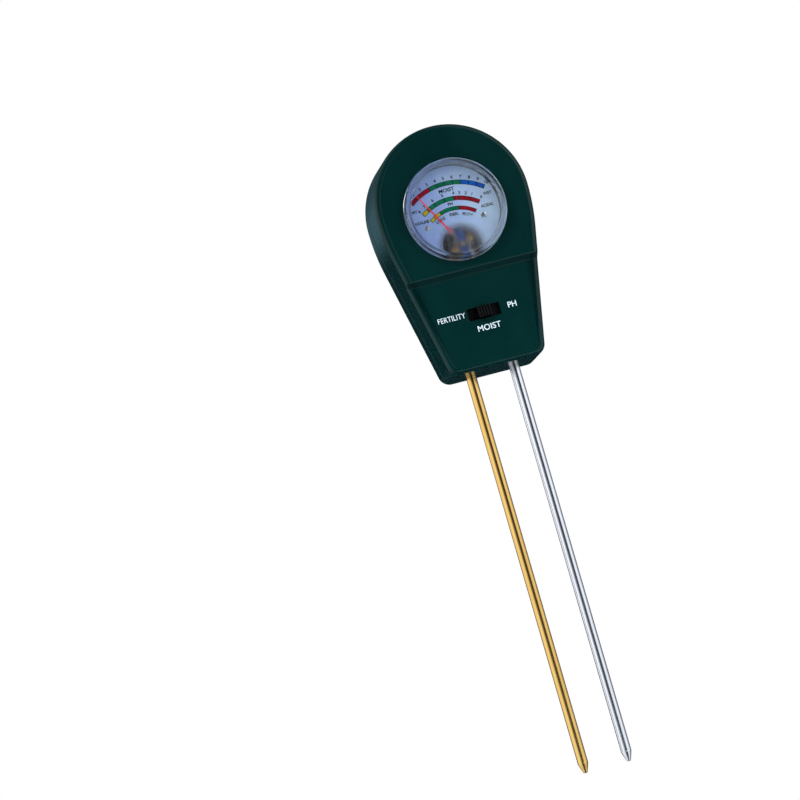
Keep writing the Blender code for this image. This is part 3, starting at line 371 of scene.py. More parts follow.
def clear_plastic():
    """Clear moulded plastic. A round patch over the pivot is frosted, with a grainy edge."""
    mat, tree, shader, vector = nodes_of("lens_clear")
    inner, outer = 9.8, 12.8
    speckle = noise(tree, vector, 0.7, 3.0)
    edge = combine(tree, "MULTIPLY_ADD", speckle, 3.2, from_pivot(tree, vector))
    frost = spread(tree, edge, 0.16, 0.01, inner, outer)
    pitted = combine(tree, "MULTIPLY", speckle, spread(tree, edge, 1.0, 0.01, inner, outer))
    scratches = noise(tree, vector, 0.8, 4.0, (1, 1, 0.1))
    gloss = combine(tree, "ADD", frost, spread(tree, scratches, 0.0, 0.02, 0.55, 0.8))
    tree.links.new(gloss, shader.inputs["Roughness"])
    shader.inputs["Base Color"].default_value = (0.93, 0.95, 1.0, 1)
    shader.inputs["Transmission Weight"].default_value = 1.0
    shader.inputs["IOR"].default_value = 1.46
    bumped(tree, shader, [pitted], 0.8, 0.28)
    return mat


def dial_sheet():
    """Satin aluminium brushed upright, with a painted reflection of the sky making it pale blue, painted
    light making it paler to the right, and painted shade dark round its opening.
    """
    mat, tree, shader, vector = nodes_of("dial_sheet")
    brushing = noise(tree, vector, 0.25, 3.0, (1, 1, 0.06))
    cloud = noise(tree, vector, 11.0, 3.0)
    # Painted light: the sheet gets paler towards the right, standing in for the light falling on that side.
    side = spread(tree, along(tree, vector, "X"), 0.1, 0.9, -16.0, 18.0)
    cloud_and_painted_light = combine(tree, "ADD", side, spread(tree, cloud, -0.12, 0.12))
    shade = combine(tree, "MULTIPLY_ADD", spread(tree, brushing, -0.5, 0.5), 0.12, cloud_and_painted_light)
    # Painted reflection: the pale blue of these colours stands in for the sky reflected by the silver sheet.
    brushed_tint_with_painted_light = tint(tree, shade, (0.27, 0.39, 0.77), (0.66, 0.84, 1.0))
    # Painted shade: a grainy dark ring round the opening stands in for the shade of the movement seen through
    # the frosted lens.
    grain = combine(tree, "MULTIPLY_ADD", noise(tree, vector, 0.7, 3.0), 3.5, from_pivot(tree, vector))
    painted_shade_halo = spread(tree, grain, 0.85, 0.0, 10.0, 12.6)
    tree.links.new(tint(tree, painted_shade_halo, brushed_tint_with_painted_light, (0.13, 0.15, 0.24)), shader.inputs["Base Color"])
    tree.links.new(spread(tree, brushing, 0.36, 0.5), shader.inputs["Roughness"])
    shader.inputs["Metallic"].default_value = 0.1
    bumped(tree, shader, [brushing], 0.1, 0.01)
    return mat


def ink(name, colour):
    return surface(
        name, colour, 0.5, vary=0.16, patch=1.5, grain=0.12, bump=0.2, depth=0.01, specular=0.12)


MATERIALS = {
    "case": case_plastic(),
    "lens": clear_plastic(),
    "dial": dial_sheet(),
    "meter_moulding": surface("meter_moulding", (0.55, 0.52, 0.42), 0.5),
    "ferrite": surface("ferrite", (0.03, 0.03, 0.034), 0.7, grain=0.2, bump=0.5, depth=0.04),
    "steel": surface("plain_steel", (0.42, 0.43, 0.45), 0.36, 1.0, stretch=(1, 1, 0.2)),
    "screw": surface("zinc_plate", (0.42, 0.42, 0.41), 0.27, 1.0, vary=0.18, patch=1.6, grain=0.15),
    "bridge": surface("blued_steel", (0.012, 0.045, 0.19), 0.35, 0.1, stretch=(1, 1, 0.2)),
    "brass": surface("plain_brass", (0.62, 0.42, 0.14), 0.3, 1.0, vary=0.15, patch=1.5),
    "bobbin": surface("bobbin_metal", (0.6, 0.61, 0.63), 0.35, 1.0),
    "copper": wound("copper_winding", (0.62, 0.33, 0.14), 0.16, "Y", 0.35, 0.2),
    "needle": surface("needle_red", (1.0, 0.016, 0.008), 0.42, vary=0.05, patch=2.0, grain=0.2),
    "knob": surface(
        "knob_black", (0.0010, 0.0010, 0.0012), 0.42, specular=0.2, vary=0.3, patch=2.0, grain=0.15,
        depth=0.03),
    "board": surface("laminate", (0.30, 0.16, 0.05), 0.5, vary=0.25, patch=1.5, stretch=(0.2, 1, 1)),
    "resistor": surface("resistor_lacquer", (0.55, 0.42, 0.25), 0.35, patch=1.0),
    "red_wire": surface("red_wire", (0.5, 0.02, 0.02), 0.4, patch=2.0, grain=0.2),
    "black_wire": surface("black_wire", (0.02, 0.02, 0.02), 0.4, patch=2.0, grain=0.2),
    "gold_rod": drawn_rod("gold_rod", (1.0, 0.66, 0.24), (0.84, 0.48, 0.12), 0.2),
    "silver_rod": drawn_rod("silver_rod", (0.95, 0.95, 1.0), (0.84, 0.84, 0.92), 0.2),
}
INKS = {
    "red": ink("ink_red", (0.36, 0.001, 0.012)),
    "green": ink("ink_green", (0.0, 0.19, 0.075)),
    "blue": ink("ink_blue", (0.0, 0.125, 0.62)),
    "yellow": ink("ink_yellow", (0.62, 0.50, 0.03)),
    "black": ink("ink_black", (0.004, 0.005, 0.012)),
    "white": ink("ink_white", (0.62, 0.72, 0.80)),
}


# ---------------------------------------------------------------- mesh helpers, millimetres

def finish_piece(name, shape, material, body, replaced=(), sharp=32.0, weighted=True):
    """Makes the object at the head's origin in metres, shades it, and attaches it to its body."""
    bmesh.ops.recalc_face_normals(shape, faces=shape.faces)
    mesh = bpy.data.meshes.new(name)
    shape.to_mesh(mesh)
    shape.free()
    mesh.transform(Matrix.Translation((0, 0, FOOT)) @ Matrix.Scale(MM, 4))
    mesh.materials.append(material)
    return place_piece(name, mesh, body, replaced, sharp, weighted)


def place_piece(name, mesh, body, replaced, sharp, weighted):
    """Shades the mesh smooth up to the sharp angle, attaches it to its body and hides the nodes it replaces.
    """
    mesh.polygons.foreach_set("use_smooth", [True] * len(mesh.polygons))
    mesh.set_sharp_from_angle(angle=math.radians(sharp))
    piece = bpy.data.objects.new(name, mesh)
    scene.collection.objects.link(piece)
    if weighted:
        modifier = piece.modifiers.new("normals", "WEIGHTED_NORMAL")
        modifier.keep_sharp = True
    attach(piece, body)
    if replaced:
        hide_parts(*replaced)
    return piece


def cut(shape, tools, operation="DIFFERENCE"):
    """The shape with the tools cut from it or joined to it, as a new bmesh."""
    meshes = []
    for source in (shape, tools):
        bmesh.ops.recalc_face_normals(source, faces=source.faces)
        mesh = bpy.data.meshes.new("work")
        source.to_mesh(mesh)
        source.free()
        meshes.append(bpy.data.objects.new("work", mesh))
        scene.collection.objects.link(meshes[-1])
    modifier = meshes[0].modifiers.new("cut", "BOOLEAN")
    modifier.operation = operation
    modifier.solver = "EXACT"
    modifier.object = meshes[1]
    depsgraph = bpy.context.evaluated_depsgraph_get()
    result = bmesh.new()
    result.from_object(meshes[0], depsgraph)
    for item in meshes:
        data = item.data
        bpy.data.objects.remove(item)
        bpy.data.meshes.remove(data)
    bmesh.ops.remove_doubles(result, verts=result.verts, dist=0.0005)
    return result


def ring_of(shape, points):
    return [shape.verts.new(point) for point in points]


def bridge(shape, first, second):
    """Quads between two rings of the same count."""
    count = len(first)
    for step in range(count):
        after = (step + 1) % count
        shape.faces.new((first[step], first[after], second[after], second[step]))


def bridge_all(shape, rings):
    for first, second in zip(rings, rings[1:]):
        bridge(shape, first, second)


def lathe(shape, profile, count, centre=(0, 0), axis="Y"):
    """The (radius, height) profile turned about y or z. An end at radius 0 is closed by a fan."""
    rings = []
    for radius, height in profile:
        points = []
        for step in range(count if radius > 0 else 1):
            angle = math.tau * step / count
            across, up = radius * math.cos(angle), radius * math.sin(angle)
            if axis == "Y":
                points.append((centre[0] + across, height, centre[1] + up))
            else:
                points.append((centre[0] + across, centre[1] + up, height))
        rings.append(ring_of(shape, points))
    for first, second in zip(rings, rings[1:]):
        if len(first) == 1 or len(second) == 1:
            fan, hub = (second, first[0]) if len(first) == 1 else (first, second[0])
            for step in range(count):
                shape.faces.new((fan[step], fan[(step + 1) % count], hub))
        else:
            bridge(shape, first, second)


def arc(centre_x, centre_z, radius, start, end, steps):
    """Points along an arc, with its start and end in radians from +x."""
    angles = [start + (end - start) * step / steps for step in range(steps + 1)]
    return [(centre_x + radius * math.cos(a), centre_z + radius * math.sin(a)) for a in angles]


def circle(radius, x, z, count):
    return arc(x, z, radius, 0, math.tau * (count - 1) / count, count - 1)


def rounding(radius, steps):
    """A quarter round as (inset, sink) pairs, from the side wall to the face."""
    angles = [math.radians(90 * step / steps) for step in range(steps + 1)]
    return [(radius * (1 - math.cos(angle)), radius * (1 - math.sin(angle))) for angle in angles]


def inside(point, loop):
    """Whether the (x, z) point is inside the loop."""
    x, z = point
    odd = False
    for (x1, z1), (x2, z2) in zip(loop, loop[1:] + loop[:1]):
        if (z1 > z) != (z2 > z) and x < (x2 - x1) * (z - z1) / (z2 - z1) + x1:
            odd = not odd
    return odd


def fill(shape, loops, extra_edges=()):
    """Fills between the first loop of vertices and the holes after it."""
    verts = [vert for loop in loops for vert in loop]
    flat = [Vector((vert.co.x, vert.co.z)) for vert in verts]
    edges, outlines, start = [], [], 0
    for loop in loops:
        count = len(loop)
        edges += [(start + step, start + (step + 1) % count) for step in range(count)]
        outlines.append([tuple(point) for point in flat[start:start + count]])
        start += count
    edges += list(extra_edges)
    points, _, faces, _, _, _ = geometry.delaunay_2d_cdt(flat, edges, [], 0, 1e-7)
    for face in faces:
        centre = sum((points[index] for index in face), Vector((0, 0))) / len(face)
        if not inside(centre, outlines[0]):
            continue
        if any(inside(centre, hole) for hole in outlines[1:]):
            continue
        shape.faces.new([verts[index] for index in face])


def plate(shape, loops, front, back):
    """A flat plate with holes: (x, z) loops, the outline first."""
    sides = []
    for depth in (front, back):
        sides.append([ring_of(shape, [(x, depth, z) for x, z in loop]) for loop in loops])
        fill(shape, sides[-1])
    for near, far in zip(*sides):
        bridge(shape, near, far)


# ---------------------------------------------------------------- case

def outline(inset):
    """The head's outline from the bottom's right end round to its left end, moved in by inset."""
    flank_x = TOP_RADIUS - FLANK_RADIUS
    lean = FLANK_ANGLE
    foot_x = flank_x + FLANK_RADIUS * math.cos(lean)
    foot_z = TOP_CENTRE - FLANK_RADIUS * math.sin(lean)
    drop = foot_z - CORNER_RADIUS
    corner_x = foot_x - (CORNER_RADIUS + drop * math.sin(lean)) / math.cos(lean)
    right = arc(corner_x, CORNER_RADIUS, CORNER_RADIUS - inset, -math.pi / 2, -lean, 10)
    for level in STEP_LEVELS:
        x = foot_x - inset / math.cos(lean) - (foot_z - level) * math.tan(lean)
        right.append((x, level))
    right += arc(flank_x, TOP_CENTRE, FLANK_RADIUS - inset, -lean, 0, 12)
    right += arc(0, TOP_CENTRE, TOP_RADIUS - inset, 0, math.pi / 2, 40)[1:]
    left = [(-x, z) for x, z in reversed(right[:-1])]
    return right + left


def face_depth(z):
    """The front face's depth: the lower panel, the sloping step with rounded edges, and the raised part."""
    slope = (RAISED_FRONT - PANEL_FRONT) / (STEP_HIGH - STEP_LOW)
    for edge, depth, before, after, half in (
        (STEP_LOW, PANEL_FRONT, 0.0, slope, STEP_ROUND_LOW),
        (STEP_HIGH, RAISED_FRONT, slope, 0.0, STEP_ROUND_HIGH),
    ):
        if abs(z - edge) <= half:
            return depth + before * (z - edge) + (after - before) * (z - edge + half) ** 2 / (4 * half)
    if z < STEP_LOW:
        return PANEL_FRONT
    if z > STEP_HIGH:
        return RAISED_FRONT
    return PANEL_FRONT + slope * (z - STEP_LOW)


def outline_ring(shape, inset, depth):
    """A ring at that inset. The depth is a number, or a function of the height."""
    points = outline(inset)
    if callable(depth):
        return ring_of(shape, [(x, depth(z), z) for x, z in points])
    return ring_of(shape, [(x, depth, z) for x, z in points])


def level_edges(ring):
    """Straight edges across the face, from flank to flank, through the step."""
    count = len(ring)
    low, high = STEP_LEVELS[0] - 0.1, STEP_LEVELS[-1] + 0.1
    found = [index for index in range(count // 2) if low < ring[index].co.z < high]
    return [(index, count - 1 - index) for index in found]


def slot_outline(grow):
    """The switch slot with slightly rounded corners."""
    round_off = SLOT_CORNER + grow
    across, rise = SLOT_HALF + grow, SLOT_RISE + grow
    points = []
    for side_x, side_z, start in ((1, -1, -90), (1, 1, 0), (-1, 1, 90), (-1, -1, 180)):
        centre = (side_x * (across - round_off), SLOT_HEIGHT + side_z * (rise - round_off))
        points += arc(*centre, round_off, math.radians(start), math.radians(start + 90), 3)
    return points


def window_outline(grow):
    return circle(WINDOW_RADIUS + grow, 0, LENS_HEIGHT, 96)


def hole_wall(shape, loops):
    """A hole's wall down its (loop, depth) sections. Gives back its top ring and its floor ring."""
    rings = [ring_of(shape, [(x, depth, z) for x, z in loop]) for loop, depth in loops]
    bridge_all(shape, rings)
    return rings[0], rings[-1]


def finish_case(name, shape, replaced):
    """Cuts the channels for the two probes through the lower wall, and finishes the case half."""
    low, high = CHANNEL_ENDS
    profile = [(0, low), (CHANNEL_RADIUS, low), (CHANNEL_RADIUS, high), (0, high)]
    channels = bmesh.new()
    for side in (-1, 1):
        lathe(channels, profile, 48, (side * PROBE_X, 0), "Z")
    finish_piece(name, cut(shape, channels), MATERIALS["case"], "case", [replaced])


def front_case():
    """The front half: inner wall, outer wall, rounded edge, bordered face, window and slot."""
    shape = bmesh.new()
    sections = [
        (WALL + INNER_CHAMFER, lambda z: face_depth(z) + WALL),
        (WALL, lambda z: face_depth(z) + WALL + INNER_CHAMFER),
        (WALL, -SEAM),
        (SEAM_CHAMFER, -SEAM),
        (0, -SEAM - SEAM_CHAMFER),
    ]
    steps = rounding(FILLET, 7)
    steps += [(FILLET + BORDER + step, BORDER_DEPTH * share) for step, share in BORDER_STEP]
    sections += [(inset, lambda z, sink=sink: face_depth(z) + sink) for inset, sink in steps]
    rings = [outline_ring(shape, inset, depth) for inset, depth in sections]
    bridge_all(shape, rings)
    tops, floors = [], []
    for loop, front in ((window_outline, RAISED_FRONT), (slot_outline, PANEL_FRONT)):
        face = front + BORDER_DEPTH
        top, bottom = hole_wall(shape, [
            (loop(HOLE_ROUND), face),
            (loop(HOLE_ROUND_MIDDLE), face + HOLE_ROUND_MIDDLE),
            (loop(0), face + HOLE_ROUND),
            (loop(0), front + WALL),
        ])
        tops.append(top)
        floors.append(bottom)
    fill(shape, [rings[-1], *tops], level_edges(rings[-1]))
    fill(shape, [rings[0], *floors], level_edges(rings[0]))
    finish_case("front_case", shape, "front_cover")


def rear_case():
    """The rear half: inner wall, lip, outer wall, rounded edge, and three recessed screw bosses."""
    shape = bmesh.new()
    rings = [
        outline_ring(shape, WALL, BACK - WALL),
        outline_ring(shape, WALL, LIP_ROOT),
        outline_ring(shape, LIP[1], LIP_ROOT),
        outline_ring(shape, LIP[1], -LIP_REACH),
        outline_ring(shape, LIP[0], -LIP_REACH),
        outline_ring(shape, LIP[0], SEAM),
        outline_ring(shape, SEAM_CHAMFER, SEAM),
        outline_ring(shape, 0, SEAM + SEAM_CHAMFER),
    ]
    rings += [outline_ring(shape, inset, BACK - sink) for inset, sink in rounding(REAR_FILLET, 7)]
    bridge_all(shape, rings)
    tops, floors = [], []
    sections = [
        (SINK_RADIUS + 0.3, BACK), (SINK_RADIUS + 0.06, BACK - 0.08), (SINK_RADIUS, BACK - 0.3),
        (SINK_RADIUS, SINK_FLOOR), (SHAFT_HOLE, SINK_FLOOR), (SHAFT_HOLE, BOSS_END),
        (BOSS_RADIUS, BOSS_END), (BOSS_RADIUS, BACK - WALL),
    ]
    for x, z in COVER_SCREWS.values():
        top, bottom = hole_wall(shape, [(circle(radius, x, z, 48), depth) for radius, depth in sections])
        tops.append(top)
        floors.append(bottom)
    fill(shape, [rings[-1], *tops])
    fill(shape, [rings[0], *floors])
    finish_case("rear_case", shape, "rear_cover")


def lens_cup():
    """A clear cup: domed face, rounded rim, straight skirt and the flange that holds it."""
    shape = bmesh.new()
    face = [(LENS_BORE * step / 8, LENS_DOME * (1 - (step / 8) ** 2)) for step in range(9)]
    profile = [(radius, LENS_FRONT - rise) for radius, rise in face]
    profile += [(LENS_RADIUS - sink, LENS_FRONT + inset) for inset, sink in rounding(LENS_RIM, 8)]
    seat = RAISED_FRONT + WALL + LENS_GAP
    back = seat + LENS_WALL
    profile += [(LENS_RADIUS, seat), (LENS_FLANGE, seat), (LENS_FLANGE, back), (LENS_BORE, back)]
    inner = LENS_FRONT + LENS_WALL
    profile += [(LENS_BORE - inset, inner + sink) for inset, sink in rounding(LENS_INNER_ROUND, 4)]
    profile += [(radius, inner - rise) for radius, rise in reversed(face[:-1])]
    lathe(shape, profile, 128, (0, LENS_HEIGHT))
    finish_piece("lens_cup", shape, MATERIALS["lens"], "case", ["lens"], sharp=40)


# ---------------------------------------------------------------- dial

def polar(radius, degrees):
    """A point at that angle to the right of straight up from the pivot."""
    angle = math.radians(degrees)
    return radius * math.sin(angle), PIVOT + radius * math.cos(angle)


def dial_outline():
    """A disc with a keyhole: the round opening over the movement and the slot below it."""
    slot = math.asin(DIAL_SLOT / DIAL_RADIUS)
    points = arc(0, LENS_HEIGHT, DIAL_RADIUS, -math.pi / 2 + slot, math.pi * 1.5 - slot, 120)
    gap = math.asin(DIAL_SLOT / DIAL_OPENING)
    points += arc(0, PIVOT, DIAL_OPENING, math.pi * 1.5 - gap, -math.pi / 2 + gap, 48)
    return points


def dial_face():
    shape = bmesh.new()
    holes = [circle(DIAL_SCREW_HOLE, x, DIAL_SCREW_HEIGHT, 24) for x in DIAL_SCREWS.values()]
    plate(shape, [dial_outline(), *holes], DIAL_FRONT, DIAL_FRONT + DIAL_THICKNESS)
    finish_piece("dial_face", shape, MATERIALS["dial"], "case", ["dial_plate"], sharp=20)


def cell(shape, outer, inner, start, end, front, back):
    """One curved cell of a scale, between two radii and two angles."""
    steps = max(2, int((end - start) / CELL_FACET))
    angles = [start + (end - start) * step / steps for step in range(steps + 1)]
    points = [polar(outer, angle) for angle in angles]
    points += [polar(inner, angle) for angle in reversed(angles)]
    plate(shape, [points], front, back)


def add_text(shape, body, height, x, z, front, weight, width=1.0, turn=0.0):
    """Adds solid lettering in the (x, z) plane, its middle at (x, z), turned clockwise by turn degrees."""
    curve = bpy.data.curves.new("lettering", "FONT")
    curve.body = body
    curve.align_x = "CENTER"
    curve.align_y = "CENTER"
    curve.size = height * 1.43
    curve.offset = weight
    curve.extrude = INK
    curve.resolution_u = 3
    item = bpy.data.objects.new("lettering", curve)
    scene.collection.objects.link(item)
    mesh = bpy.data.meshes.new_from_object(item.evaluated_get(bpy.context.evaluated_depsgraph_get()))
    bpy.data.objects.remove(item)
    bpy.data.curves.remove(curve)
    mesh.transform(Matrix.Diagonal((width, 1, 1, 1)))
    upright = Matrix.Rotation(math.radians(90), 4, "X")
    turned = Matrix.Rotation(math.radians(turn), 4, "Y")
    mesh.transform(Matrix.Translation((x, front, z)) @ turned @ upright)
    shape.from_mesh(mesh)
    bpy.data.meshes.remove(mesh)


def dial_print():
    """The scales as a black layer with coloured cells on it, and the numerals and words between them."""
    level = DIAL_FRONT - INK
    shapes = {name: bmesh.new() for name in ("red", "green", "blue", "yellow")}
    black = bmesh.new()
    for outer, inner, cells in SCALES:
        edge, inset = math.degrees(CELL_RIM / outer), math.degrees(CELL_GAP / outer)
        start, end = cells[0][1] - edge, cells[-1][2] + edge
        cell(black, outer + CELL_RIM, inner - CELL_RIM, start, end, level, DIAL_FRONT)
        for colour, start, end in cells:
            cell(shapes[colour], outer - CELL_RIM, inner + CELL_RIM, start + inset, end - inset,
                 DIAL_FRONT - 2 * INK, level)
    for numerals, height, radius in (
        (OUTER_NUMERALS, 1.35, OUTER_NUMERAL_RADIUS),
        (MIDDLE_NUMERALS, 1.3, MIDDLE_NUMERAL_RADIUS),
    ):
        for body, angle in numerals:
            add_text(black, body, height, *polar(radius, angle), level, 0.06, turn=angle)
    for body, height, x, z, weight, width in DIAL_WORDS:
        add_text(black, body, height, x, z, level, weight, width)
    for body, angle in INNER_WORDS:
        add_text(black, body, 1.25, *polar(INNER_WORD_RADIUS, angle), level, 0.05, 0.85, angle * 0.8)
    finish_piece("dial_lettering", black, INKS["black"], "case", sharp=20, weighted=False)
    for name, shape in shapes.items():
        finish_piece("dial_cells_" + name, shape, INKS[name], "case", sharp=20, weighted=False)


def panel_print():
    shape = bmesh.new()
    for body, height, x, z, weight, width in PANEL_WORDS:
        add_text(shape, body, height, x, z, PANEL_FRONT + BORDER_DEPTH - INK, weight, width)
    finish_piece("panel_lettering", shape, INKS["white"], "case", sharp=20, weighted=False)


# ---------------------------------------------------------------- needle, knob, screws and probes

def needle_blade():
    """The pressed needle, turned to its rest angle. The red paint stops short of the hub."""
    arm, arm_half = 4.9, 0.25
    tail, tail_half = 6.2, 1.2
    hub, bore, paint = 1.25, 0.6, 6.8
    base, base_half = 2.2, 0.45
    taper, tip_half = NEEDLE_LENGTH - 0.3, 0.2
    lower = [(tail_half - 0.4, -tail), (tail_half, -tail + 0.4), (tail_half, -3.0), (arm_half, -1.5)]
    side = arc(0, 0, hub, math.radians(-78), math.radians(-12), 6)
    upper = arc(0, 0, hub, math.radians(12), math.radians(68), 6)
    neck = base_half + (tip_half - base_half) * (paint - base) / (taper - base)
    half = lower + side + [(arm, -arm_half), (arm, arm_half)] + upper + [(base_half, base), (neck, paint)]
    shape = bmesh.new()
    hole = circle(bore, 0, 0, 24)
    plate(shape, [half + [(-x, z) for x, z in reversed(half)], hole], NEEDLE_FRONT, NEEDLE_BACK)
    for face in shape.faces:
        face.material_index = 1
    blade = [(neck, paint), (tip_half, taper), (tip_half * 0.5, NEEDLE_LENGTH)]
    plate(shape, [blade + [(-x, z) for x, z in reversed(blade)]], NEEDLE_FRONT, NEEDLE_BACK)
    turn = Matrix.Rotation(NEEDLE_ANGLE, 4, "Y")
    bmesh.ops.transform(shape, matrix=Matrix.Translation((0, 0, PIVOT)) @ turn, verts=shape.verts)
    piece = finish_piece(
        "needle_blade", shape, MATERIALS["needle"], "needle", ["pointer"], sharp=20)
    piece.data.materials.append(MATERIALS["steel"])


def solid_prism(shape, outline_xy, low, high):
    """An (x, y) outline extruded from z = low to z = high."""
    ends = []
    for level in (low, high):
        ends.append(ring_of(shape, [(x, y, level) for x, y in outline_xy]))
        shape.faces.new(ends[-1])
    bridge(shape, *ends)


def slide_knob():
    """The finger piece: rounded ribs on top, a skirt behind the slot and a stem into the switch."""
    pitch = 2 * KNOB_HALF / KNOB_RIBS
    shoulder = KNOB_FRONT + KNOB_SHOULDER
    profile = [(-KNOB_HALF, KNOB_ROOT), (-KNOB_HALF, shoulder)]
    for rib in range(KNOB_RIBS):
        middle = -KNOB_HALF + pitch * (rib + 0.5)
        for step in range(7):
            angle = math.radians(180 - 180 * step / 6)
            x = middle + RIB_SHARE * math.cos(angle) * pitch
            profile.append((x, KNOB_FRONT + RIB_RISE - RIB_RISE * math.sin(angle)))
        if rib < KNOB_RIBS - 1:
            profile.append((middle + pitch * 0.5, KNOB_FRONT + RIB_VALLEY))
    profile += [(KNOB_HALF, shoulder), (KNOB_HALF, KNOB_ROOT)]
    shape = bmesh.new()
    solid_prism(shape, profile, -KNOB_RISE, KNOB_RISE)
    bmesh.ops.recalc_face_normals(shape, faces=shape.faces)
    rims = [
        edge for edge in shape.edges
        if abs(sum(vert.co.z for vert in edge.verts)) > 2 * KNOB_RISE - 0.002
        and min(vert.co.y for vert in edge.verts) < KNOB_ROOT - 1
    ]
    bmesh.ops.bevel(shape, geom=rims, offset=KNOB_ROUND, segments=3, affect="EDGES", profile=0.5)
    for across, front, back, rise in (KNOB_SKIRT, KNOB_STEM):
        block = bmesh.new()
        solid_prism(block, [(-across, front), (across, front), (across, back), (-across, back)], -rise, rise)
        shape = cut(shape, block, "UNION")
    bmesh.ops.translate(shape, verts=shape.verts, vec=(0, 0, SLOT_HEIGHT))
    finish_piece("slide_knob", shape, MATERIALS["knob"], "switch", ["switch_knob"])


def cross_recess(x, z, top, reach, depth, width):
    """Two crossed tapering wedges that cut a driver recess into a screw head at y = top."""
    mouth = top + math.copysign(0.5, depth)
    wedges = []
    for turn in (20, 110):
        wedge = bmesh.new()
        ends = []
        for y, across, half in ((mouth, reach, width), (top - depth, reach * 0.45, width * 0.6)):
            corners = [(-across, y, -half), (across, y, -half), (across, y, half), (-across, y, half)]
            ends.append(ring_of(wedge, corners))
            wedge.faces.new(ends[-1])
        bridge(wedge, *ends)
        placed = Matrix.Translation((x, 0, z)) @ Matrix.Rotation(math.radians(turn), 4, "Y")
        bmesh.ops.transform(wedge, matrix=placed, verts=wedge.verts)
        wedges.append(wedge)
    return cut(*wedges, "UNION")


def pan_screw(name, x, z, under, head, radius, shaft, length, facing, replaced):
    """A pan-head screw with a cross recess. Facing +1 has its head towards +y, -1 towards -y."""
    shape = bmesh.new()
    top = under + facing * head
    profile = [(0, top)]
    for step in range(1, 8):
        angle = math.radians(90 * step / 7)
        rise = 0.35 + 0.65 * math.cos(angle) ** 0.7
        profile.append((radius * math.sin(angle) ** 0.8, under + facing * head * rise))
    point = under - facing * (length + 0.5 * shaft)
    profile += [(radius, under), (shaft, under), (shaft, under - facing * length), (0, point)]
    lathe(shape, profile, 40, (x, z))
    recess = cross_recess(x, z, top, radius * 0.62, facing * head * 0.6, radius * 0.13)
    shape = cut(shape, recess)
    finish_piece(name, shape, MATERIALS["screw"], "case", [replaced], sharp=38)


def screws():
    for name, (x, z) in COVER_SCREWS.items():
        pan_screw("case_screw_" + name, x, z, *CASE_SCREW, 1, "cover_screw_" + name)
    for name, x in DIAL_SCREWS.items():
        pan_screw("dial_fixing_" + name, x, DIAL_SCREW_HEIGHT, *DIAL_SCREW, -1, "dial_screw_" + name)


def rod(name, x, material, replaced):
    """A drawn rod with a turned conical point, its end slightly blunted, and a chamfered top."""
    profile = [(0, PROBE_TIP)]
    for step in range(1, 5):
        angle = math.radians(75 * step / 4)
        radius = PROBE_TIP_RADIUS - PROBE_TIP_ROUND + PROBE_TIP_ROUND * math.sin(angle)
        profile.append((radius, PROBE_TIP + PROBE_TIP_ROUND * (1 - math.cos(angle))))
    shoulder = PROBE_TIP + PROBE_CONE
    for share in (0.5, 0.94):
        radius = PROBE_TIP_RADIUS + (PROBE_RADIUS - PROBE_TIP_RADIUS) * share
        profile.append((radius, PROBE_TIP + PROBE_CONE * share))
    profile += [(PROBE_RADIUS - 0.02, shoulder - 0.02), (PROBE_RADIUS, shoulder + 0.15)]
    steps = 10
    top = PROBE_TOP - PROBE_CHAMFER
    profile += [(PROBE_RADIUS, shoulder + (top - shoulder) * step / steps) for step in range(1, steps)]
    profile += [(PROBE_RADIUS, top), (PROBE_RADIUS - PROBE_CHAMFER, PROBE_TOP), (0, PROBE_TOP)]
    shape = bmesh.new()
    lathe(shape, profile, 64, (x, 0), "Z")
    finish_piece(name, shape, material, "case", [replaced], sharp=38)


# ---------------------------------------------------------------- stage, light and camera

def repaint_cad():
    """Gives every CAD node that stays its procedural material, by the record's slot."""
    slots = {part["node"]: part["material_slot"] for part in frame["record"]["subparts"]}
    for name, node in frame["nodes"].items():
        node.data.materials.clear()
        node.data.materials.append(MATERIALS[slots[name]])


def softbox(name, place, aim, size, power, shines=False, colour=(1, 1, 1)):
    """A rectangular light, in metres and watts. Only one that shines shows in reflections."""
    data = bpy.data.lights.new(name, "AREA")
    data.shape = "RECTANGLE"
    data.size, data.size_y = size
    data.energy = power
    data.color = colour
    lamp = bpy.data.objects.new(name, data)
    lamp.location = place
    lamp.rotation_euler = (Vector(aim) - Vector(place)).to_track_quat("-Z", "Y").to_euler()
    lamp.visible_glossy = shines
    scene.collection.objects.link(lamp)


def grey(level):
    return level * 0.90, level * 0.96, level


def teal(level):
    return level * 0.40, level * 0.80, level


# The studio's walls: light against the angle round the object, from -y towards +x
WALLS = (
    (-180, teal(0.08)), (-175, teal(0.12)), (-169, teal(0.26)), (-162, teal(0.22)), (-146, grey(0.3)),
    (-118, grey(1.7)), (-58, grey(1.9)), (-38, grey(0.9)), (-20, grey(0.12)), (0, grey(0.05)),
    (14, grey(0.05)), (22, grey(0.8)), (31, grey(1.7)), (68, grey(1.6)), (92, grey(0.5)), (125, grey(0.2)),
    (150, teal(0.14)), (180, teal(0.08)),
)
# Strength against height, as the sine of the elevation: in front and at the sides, and behind
FRONT_LEVELS = (
    (-1.0, grey(0.05)), (-0.85, grey(0.06)), (-0.6, grey(0.5)), (-0.3, grey(0.6)), (-0.1, grey(0.6)),
    (0.02, grey(0.62)), (0.30, grey(0.85)), (0.60, grey(0.50)), (1.0, grey(0.40)),
)
BACK_LEVELS = (
    (-1.0, grey(0.05)), (-0.5, grey(0.4)), (-0.3, grey(0.5)), (-0.1, grey(0.3)), (0.02, grey(0.05)),
    (0.08, grey(0.12)), (0.15, grey(1.4)), (0.30, grey(1.3)), (0.60, grey(0.50)), (1.0, grey(0.40)),
)


